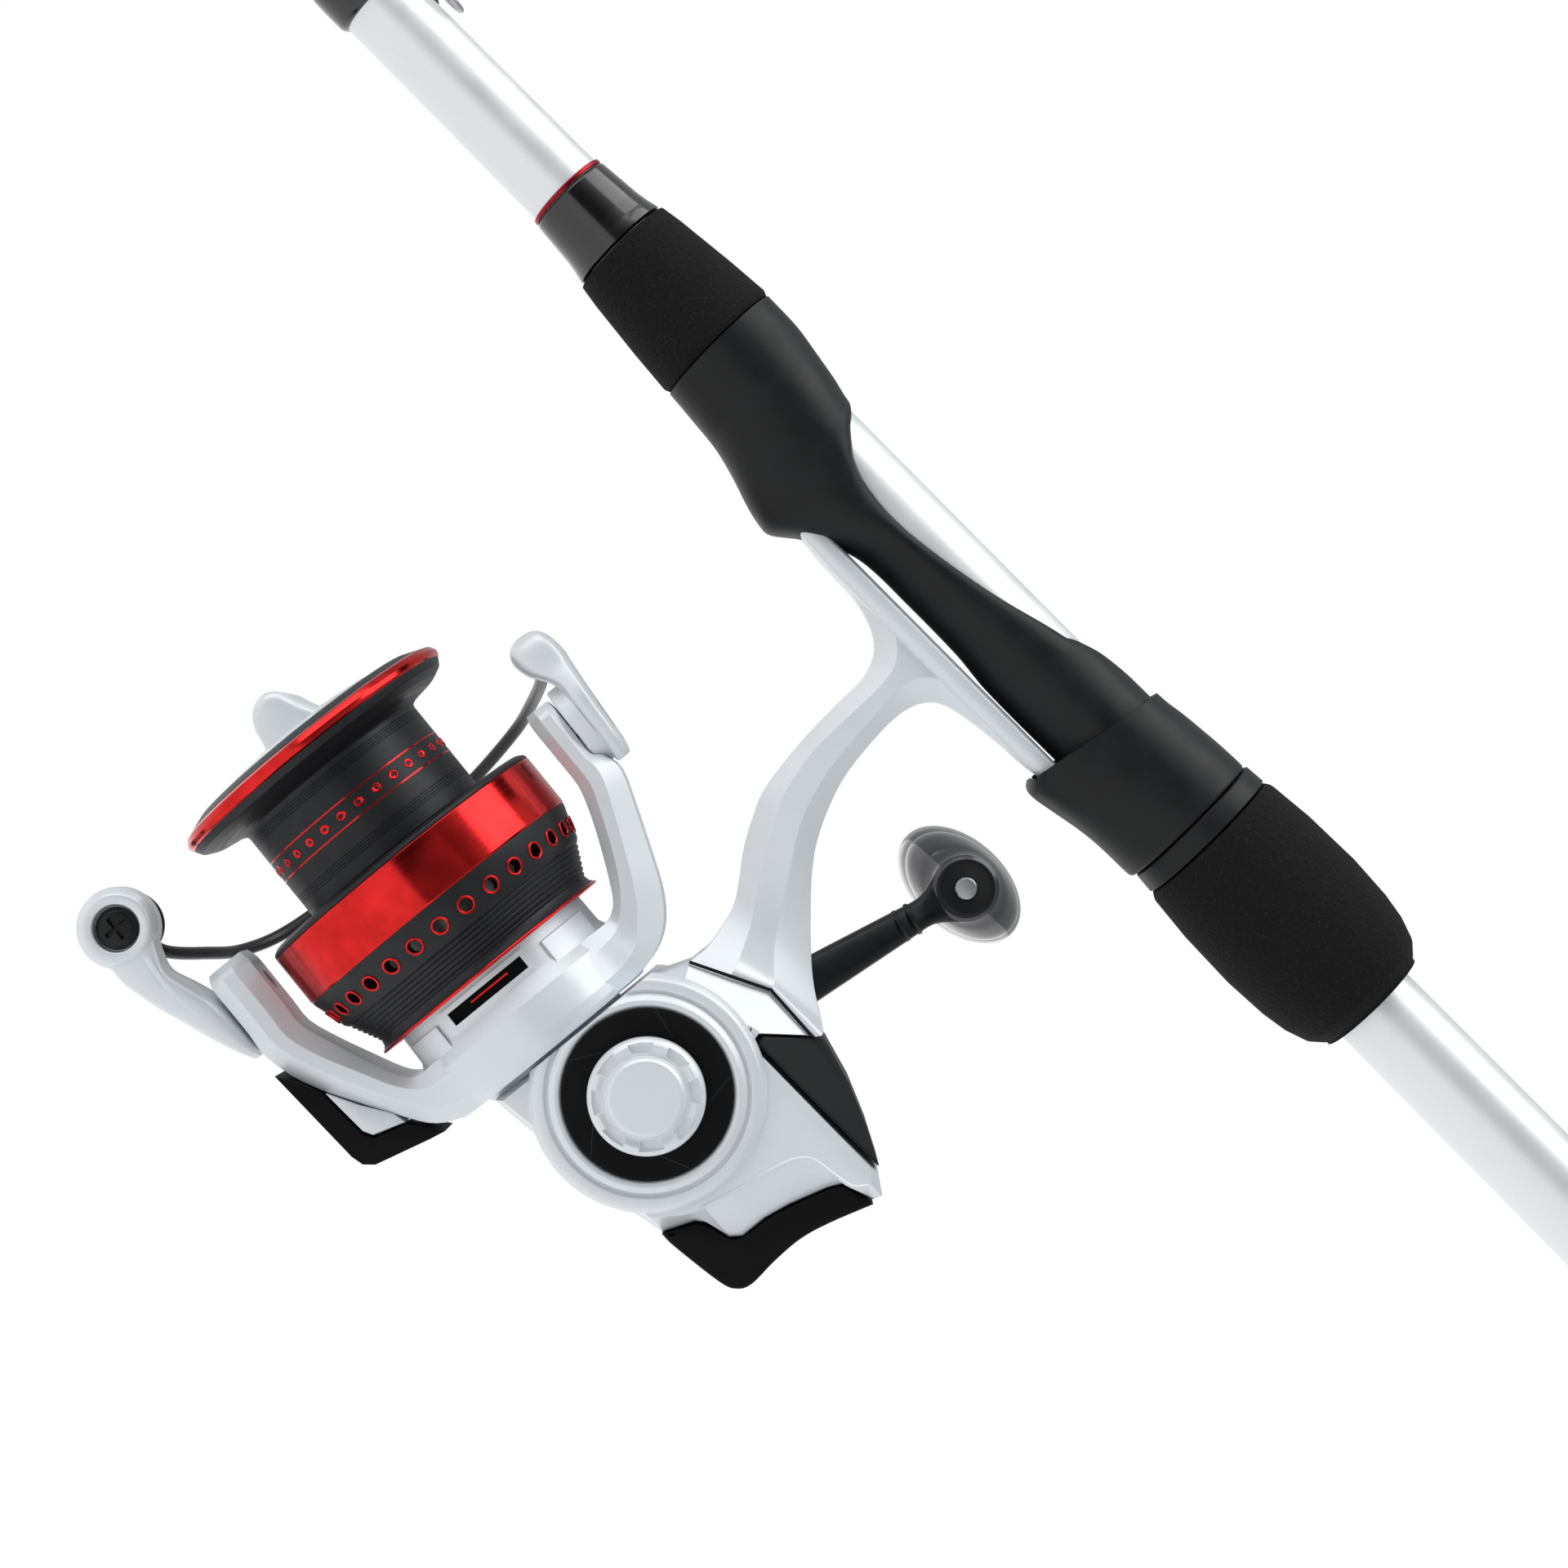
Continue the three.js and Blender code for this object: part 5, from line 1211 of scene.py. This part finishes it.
def make_spool():
    arbor = [(37.4, ARBOR_RADIUS - 0.1), (37.5, ARBOR_RADIUS)]
    arbor += fine_grooves(39.4, 41.0, 4, ARBOR_RADIUS, 0.07)
    arbor += fine_grooves(50.4, 52.0, 4, ARBOR_RADIUS, 0.07)
    lip = rounded([(52.2, ARBOR_RADIUS), (52.9, 15.8, 0.6), (53.5, 17.2, 1.0), (54.1, 20.8, 1.2),
                   (54.9, 22.5, 0.8), (56.1, 23.25, 0.4), (56.3, 22.8)], 0.2, closed=False)
    front = rounded([(58.1, 22.0), (58.3, 22.1), (59.3, 19.5, 0.4), (59.3, 17.3, 0.3), (57.6, 17.1, 0.3),
                     (57.6, 12.8), (46.4, 12.8), (46.4, 2.3), (37.4, 2.3), (37.4, 6), (44, 6), (44, 14),
                     (37.4, 14)], 0.1, closed=False)
    piece("spool_body_black", turned(arbor + lip + front, 160), BLACK_ANODISED, "spool_body", "spool",
          sharp=35, slot="black_metal")
    rim = rounded([(56.0, 23.1), (56.35, 23.5, 0.2), (57.0, 23.65, 0.3), (57.9, 23.1, 0.3), (58.25, 22.2),
                   (57.0, 22.0)], 0.1)
    piece("spool_lip_red", turned(rim, 160), RED, "spool_body", sharp=35, slot="red_metal")
    for label, x in (("rear", 44.0), ("front", 47.4)):
        line = [(x - 0.16, ARBOR_RADIUS - 0.1), (x - 0.1, ARBOR_RADIUS + 0.05),
                (x + 0.1, ARBOR_RADIUS + 0.05), (x + 0.16, ARBOR_RADIUS - 0.1)]
        piece(f"spool_line_{label}", turned(line, 160), RED, "spool_body", slot="red_metal")

    def dimple():
        cup = turned([(-0.1, 0), (0.02, 0.4), (0.12, 0.58), (0.08, 0.72), (-0.1, 0.78)], 20)
        return about_z(cup, 45.7, 0, ARBOR_RADIUS)

    piece("spool_dimples", around(dimple, DIMPLES), RED, "spool_body", sharp=60, slot="red_metal")


def make_skirt():
    band = rounded([(35.9, 22.0), (35.9, SKIRT_RADIUS, 0.25), (27.6, SKIRT_RADIUS, 0.25), (27.2, 23.75),
                    (27.2, 22.0)], 0.1)
    piece("skirt_band_red", turned(band, 160), RED, "spool_body", sharp=35, slot="red_metal")
    rim = rounded([(35.7, 14.4), (35.7, 23.5), (36.0, 23.98, 0.1), (36.5, 23.8, 0.4), (37.0, 23.0, 0.5),
                   (37.0, 14.4)], 0.1)
    piece("skirt_rim_black", turned(rim, 160), BLACK_ANODISED, "spool_body", slot="black_metal")

    ribs = []
    for i in range(6):
        x = 21.2 - 0.75 * i
        base = 21.55 - 0.38 * i
        ribs += [(x, base - 0.06), (x - 0.25, base + 0.04), (x - 0.5, base - 0.1),
                 (x - 0.62, base - 0.24)]
    outer = [(27.4, 22.6), (27.3, 23.85), (26.8, 23.75), (25.5, 23.3), (22.0, 22.3), (21.5, 21.9)] + ribs
    outer += [(16.5, 19.45), (15.9, 19.6), (15.35, 20.05)]
    inner = [(15.2, 19.6), (16.2, 18.5), (18.6, 18.3), (21, 19.3), (25.5, 21.6), (27.4, 21.9)]
    skirt = as_object("skirt_black", turned(outer + inner, 160), REEL)

    def drill():
        return about_z(turned([(18, 0), (18, 1.08), (27, 1.08), (27, 0)], 24), HOLE_X)

    carve(skirt, around(drill, HOLES, 0.5), REEL)
    finish(skirt, BLACK_ANODISED, "spool_body", "spool_skirt", sharp=35, slot="black_metal")

    def grommet():
        ring = about_z(hoop(1.2, 0.21, 28, 10), 0)
        ring.transform(Matrix.Translation((HOLE_X, 0, 22.88))
                       @ Matrix.Rotation(math.radians(-16), 4, "Y"))
        return ring

    piece("skirt_hole_rims", around(grommet, HOLES, 0.5), RED, "spool_body", sharp=80, slot="red_metal")
    edge = rounded([(15.45, 19.7), (15.4, 20.15, 0.1), (15.1, 20.35, 0.15), (14.9, 20.1, 0.1),
                    (15.1, 19.5)], 0.05)
    piece("skirt_edge_red", turned(edge, 160), RED, "spool_body", slot="red_metal")


def make_drag_knob():
    disc = rounded([(61.0, 0), (61.0, 2.3), (55, 2.3), (55, 12.3), (58, 12.3), (58, 16.8, 0.3),
                    (59.3, 16.7, 0.5), (60.2, 13.5, 1.0), (61.4, 4, 1.5), (61.6, 0)], 0.2, closed=False)
    piece("drag_disc", turned(disc, 96), PEARL, "drag", "drag_knob", sharp=35, slot="pearl")
    blade = [(58.4, 6.6), (61.4, 4.6), (63.6, 3.4), (65.8, 2.4), (66.9, 0.8), (66.8, -1.2), (65.6, -2.9),
             (63.6, -3.9), (61.2, -4.3), (58.4, -5.2)]
    blade = [tuple(point) for point in smooth(blade, 4)]
    piece("drag_blade", slab(blade, -12.6, 12.6, 1.5), PEARL, "drag", sharp=50, slot="pearl")


make_spool()
make_skirt()
make_drag_knob()


# ---------------------------------------------------------------- handle

# Handle arm: (distance along the arm, -half width, half width, y low, y high).
HANDLE_ARM = [
    (-6.5, -1.6, 1.6, -37.2, -32.0), (-5.8, -3.6, 3.6, -38.0, -31.5), (-3.4, -5.6, 5.6, -38.7, -31.2),
    (0, -6.4, 6.4, -39.3, -31.6), (4, -5.7, 5.7, -40.1, -33.4), (8, -4.8, 4.8, -41.3, -35.8),
    (15, -4.25, 4.25, -43.8, -38.6), (30, -3.45, 3.45, -49.1, -44.1), (44, -2.7, 2.7, -54.0, -49.3),
    (48.5, -2.45, 2.45, -55.5, -51.2), (50.5, -2.9, 2.9, -56.1, -51.9), (52.2, -3.8, 3.8, -56.5, -52.3),
    (54, -4.6, 4.6, -56.7, -52.6), (57, -4.7, 4.7, -56.8, -52.7),
]
# Knob: (y, half length, half thickness) of its oval sections.
KNOB = [(-57.5, 4.6, 4.6), (-57.7, 4.95, 4.95), (-60, 5.5, 5.3), (-61.5, 6.6, 5.7), (-63, 8.2, 6.3),
        (-66, 10.2, 6.9), (-68.6, 10.9, 7.1), (-70, 10.7, 7.0), (-71.4, 10.7, 6.95), (-74, 11.6, 7.4),
        (-78, 12.0, 7.7), (-82, 11.9, 7.5), (-86, 10.8, 6.7), (-88.4, 8.6, 4.9), (-89.4, 5.6, 2.8),
        (-89.6, 1.6, 0.8)]
KNOB_MIDDLE = -74
KNOB_TURN = math.radians(18)


def along_crank(bm):
    """A body drawn along X becomes a body along the handle's arm."""
    bm.transform(Matrix.Rotation(math.radians(-90), 4, "Y"))
    return on_crank(bm)


def at_crank_end(bm):
    """A body turned about X becomes one about the knob's pin."""
    return on_crank(about_y(bm, 0, CRANK_LENGTH))


def oval(sections, scale=1.0):
    """A body along Y with oval sections, shrunk evenly if a scale is given."""
    rings = []
    for y, length, thickness in smooth(sections, 4):
        rings.append([(length * scale * math.cos(a), KNOB_MIDDLE + (y - KNOB_MIDDLE) * scale,
                       thickness * scale * math.sin(a)) for a in angles(72)])
    bm = skin(rings)
    bm.transform(Matrix.Translation((0, 0, CRANK_LENGTH)) @ Matrix.Rotation(KNOB_TURN, 4, "Y"))
    return bm


def make_handle():
    piece("handle_arm_bar", along_crank(lofted(HANDLE_ARM, 2.8, 40)), SATIN_BLACK, "crank", "handle_arm",
          sharp=50, slot="arm_black")
    end = rounded([(-57.1, 0), (-57.1, 4.8, 0.3), (-56.5, 5.4, 0.4), (-52.9, 5.4, 0.3), (-52.1, 4.7, 0.2),
                   (-52.0, 4.2, 0.1), (-52.25, 4.0, 0.1), (-52.25, 1.95, 0.05), (-54, 1.95), (-54, 0)],
                  0.1, closed=False)
    piece("handle_end", at_crank_end(turned(end, 96)), SATIN_BLACK, "crank", slot="arm_black")
    chamfer = rounded([(-52.85, 5.36), (-52.7, 5.42, 0.05), (-52.1, 4.82, 0.05), (-52.15, 4.6),
                       (-52.8, 4.6)], 0.03)
    piece("handle_end_chamfer", at_crank_end(turned(chamfer, 96)), GUNMETAL, "crank", slot="gunmetal")
    for i, at in enumerate((44.6, 46.8)):
        collar = [(at - 0.5, 2.0), (at - 0.5, 2.4), (at - 0.3, 2.78), (at + 0.3, 2.76),
                  (at + 0.5, 2.4), (at + 0.5, 2.0)]
        ring = turned(collar, 48)
        ring.transform(Matrix.Rotation(math.radians(-90), 4, "Y"))
        ring.transform(Matrix.Translation((0, -53.35 - 0.36 * (at - 49), 0)))
        piece(f"handle_collar_{i + 1}", on_crank(ring), SATIN_BLACK, "crank", slot="arm_black")
    pin = rounded([(-80, 0), (-80, 1.8), (-51.9, 1.85, 0.1), (-51.6, 1.6, 0.1), (-51.6, 0)], 0,
                  closed=False)
    piece("knob_axle", at_crank_end(turned(pin, 48)), STEEL_PIN, "crank", "knob_pin", slot="steel")
    hub = rounded([(-34.2, 0), (-34.2, 4.1), (-33, 4.3), (-29, 4.6, 0.6), (-20, 5.3), (-18.2, 5.45, 0.4),
                   (-17.5, 5.1, 0.2), (-17.5, 0)], 0.1, closed=False)
    shank = [(-17.6, 0), (-17.6, 2.8), (6, 2.8), (6, 0)]
    shaft = join(about_y(turned(hub, 96)), about_y(turned(shank, 6)))
    piece("handle_spindle", shaft, GUNMETAL, "crank", "handle_shaft", slot="gunmetal")
    seal = rounded([(-16.95, 3.2), (-16.95, 6.6, 0.4), (-16.5, 7.25, 0.2), (-15.1, 7.25), (-15.1, 3.2)],
                   0.1)
    piece("shaft_seal", about_y(turned(seal, 96)), RUBBER, "root", slot="black_trim")


def make_knob():
    skin_part = as_object("knob_skin", on_crank(oval(KNOB)), REEL)
    bore = at_crank_end(turned([(-82, 0), (-82, 2.1), (-50, 2.1), (-50, 0)], 48))
    carve(skin_part, bore, REEL)
    finish(skin_part, SMOKED, "knob", "handle_knob", sharp=60, slot="smoke")
    core = as_object("knob_core", on_crank(oval(KNOB, 0.9)), REEL)
    bore = at_crank_end(turned([(-86, 0), (-86, 2.6), (-50, 2.6), (-50, 0)], 48))
    carve(core, bore, REEL)
    finish(core, SMOKED_CORE, "knob", sharp=60, slot="smoke")


make_handle()
make_knob()


# ---------------------------------------------------------------- hinge and cover screws

# Each hinge screw's side of the axis, and the distances of its head's underside and top.
HINGE_SCREWS = {"top": (1, 36.35, 37.25), "bottom": (-1, 36.9, 38.2)}
COVER_SCREWS = [(-36, 7.2), (-8.5, 24.2)]           # (x, z)


def make_screws():
    for label, (side, low, high) in HINGE_SCREWS.items():
        shape = rounded([(28.6, 0), (28.6, 1.5), (low, 1.5), (low, 3.15), (high - 0.25, 3.15, 0.2),
                         (high, 2.7, 0.3), (high, 0)], 0, closed=False)
        bolt = about_z(turned([(side * x, radius) for x, radius in shape], 48), BAIL_X)
        bolt = as_object(f"hinge_screw_{label}", bolt, REEL)
        reach = sorted((side * (high - 0.6), side * (high + 2)))
        carve(bolt, brick((BAIL_X - 3.4, -0.35, reach[0]), (BAIL_X + 3.4, 0.35, reach[1])), REEL)
        finish(bolt, STEEL, "rotor_body", f"pivot_screw_{label}", sharp=35, bevel=0.06, slot="steel")
    for i, (x, z) in enumerate(COVER_SCREWS, 1):
        post = rounded([(-11.5, 1.15), (-11.5, 2.9), (-15.2, 2.75, 0.3), (-15.3, 2.1, 0.1), (-14.15, 2.1),
                        (-14.15, 1.15)], 0.02)
        piece(f"screw_post_{i}", about_y(turned(post, 48), x, z), PEARL, "root", slot="pearl")
        shape = rounded([(-15.9, 0), (-15.9, 1.2, 0.4), (-15.3, 1.9, 0.3), (-14.2, 1.9), (-14.2, 1.1),
                         (7, 1.1), (7, 0)], 0, closed=False)
        bolt = as_object(f"cover_bolt_{i}", about_y(turned(shape, 40), x, z), REEL)
        cross_recess(bolt, x, z, 0.95, 0.2, -20, -15.3)
        finish(bolt, STEEL_PIN, "root", f"cover_screw_{i}", sharp=35, bevel=0.05, slot="steel")


make_screws()


# ---------------------------------------------------------------- works inside the reel

# Nodes of the CAD model that are kept, each with its material.
INSIDE = {"drive_gear": BRASS, "drive_bearing_left": STEEL_PIN, "drive_bearing_right": STEEL_PIN,
          "pinion_gear": BRASS, "pinion_bearing": STEEL, "roller_clutch": STEEL, "worm_shaft": STEEL,
          "worm_gear": SATIN_BLACK, "slider": SATIN_BLACK, "main_shaft": STEEL, "click_gear": SATIN_BLACK,
          "rotor_nut": STEEL, "bail_spring": STEEL, "drag_washers": FELT}


def dress_works():
    for name, material in INSIDE.items():
        mesh = frame["nodes"][name].data
        mesh.materials.clear()
        mesh.materials.append(material)


dress_works()


# ---------------------------------------------------------------- stage and light

FLOOR_Z = -0.42
FLOOR_HALF = 9.0
MIDDLE_X = 0.9                      # middle of the rod's length
REEL_POINT = (0.33, 0, -0.06)       # where the lights point

# Soft boxes: name, place, width and height, watts.
LIGHTS = [
    ("key_above", (0.35, 0.15, 0.95), (1.0, 0.9), 7),
    ("fill_left", (1.15, 0.35, 0.4), (0.6, 0.9), 3),
    ("fill_front", (0.1, 1.1, 0.3), (0.8, 0.8), 0.4),
]
TENT_SIDE, TENT_FRONT = 0.46, 0.03  # strength of the tent's walls and of its open front
TENT_EDGE = (0.45, 0.97)            # Y of the unit directions between which the one turns into the other


def make_floor():
    """Pale floor whose colour runs out into plain white away from the rod."""
    bm = bmesh.new()
    corners = [bm.verts.new((x, y, FLOOR_Z)) for x, y in ((-1, -1), (1, -1), (1, 1), (-1, 1))]
    bm.faces.new(corners)
    floor = as_object("floor", bm, Matrix.Translation((MIDDLE_X, 0, 0))
                      @ Matrix.Diagonal((FLOOR_HALF, FLOOR_HALF, 1, 1)))
    shader = Shader("floor_paint")
    shader.constant(Base_Color=(0.86, 0.86, 0.86, 1), Roughness=0.8)
    near = shader.add("ShaderNodeVectorMath", operation="DISTANCE")
    shader.link(shader.position(), near.inputs[0])
    near.inputs[1].default_value = (MIDDLE_X, 0, FLOOR_Z)
    share = shader.spread(near.outputs["Value"], 0.45, 1, 0.1, 0.9)
    white = shader.add("ShaderNodeEmission")
    mix = shader.add("ShaderNodeMixShader")
    shader.link(share, mix.inputs["Fac"])
    shader.link(shader.surface.outputs["BSDF"], mix.inputs[1])
    shader.link(white.outputs["Emission"], mix.inputs[2])
    shader.link(mix.outputs["Shader"], shader.nodes["Material Output"].inputs["Surface"])
    floor.data.materials.append(shader.material)


def softbox(name, place, size, power):
    """A rectangular soft light that faces the reel."""
    light = bpy.data.objects.new(name, bpy.data.lights.new(name, "AREA"))
    light.data.shape = "RECTANGLE"
    light.data.size, light.data.size_y = size
    light.data.energy = power
    facing = Vector(REEL_POINT) - Vector(place)
    light.matrix_world = Matrix.Translation(place) @ facing.to_track_quat("-Z", "Y").to_matrix().to_4x4()
    bpy.context.scene.collection.objects.link(light)


def make_world():
    """Soft tent of light round the object: its open front (+Y) gives less light than its sides."""
    world = bpy.data.worlds.new("studio")
    bpy.context.scene.world = world
    world.use_nodes = True
    nodes, links = world.node_tree.nodes, world.node_tree.links
    soft = nodes["Background"]
    soft.inputs["Color"].default_value = (0.97, 0.985, 1.0, 1)
    direction = nodes.new("ShaderNodeTexCoord")
    parts = nodes.new("ShaderNodeSeparateXYZ")
    links.new(direction.outputs["Generated"], parts.inputs["Vector"])
    tent = nodes.new("ShaderNodeMapRange")
    tent.interpolation_type = "SMOOTHSTEP"
    tent.inputs["From Min"].default_value, tent.inputs["From Max"].default_value = TENT_EDGE
    tent.inputs["To Min"].default_value = TENT_SIDE
    tent.inputs["To Max"].default_value = TENT_FRONT
    links.new(parts.outputs["Y"], tent.inputs["Value"])
    links.new(tent.outputs["Result"], soft.inputs["Strength"])
    plain = nodes.new("ShaderNodeBackground")
    plain.inputs["Color"].default_value = (1, 1, 1, 1)
    rays = nodes.new("ShaderNodeLightPath")
    mix = nodes.new("ShaderNodeMixShader")
    links.new(rays.outputs["Is Camera Ray"], mix.inputs["Fac"])
    links.new(soft.outputs["Background"], mix.inputs[1])
    links.new(plain.outputs["Background"], mix.inputs[2])
    links.new(mix.outputs["Shader"], nodes["World Output"].inputs["Surface"])


make_floor()
make_world()
for light in LIGHTS:
    softbox(*light)
bpy.context.scene.view_settings.view_transform = "Standard"
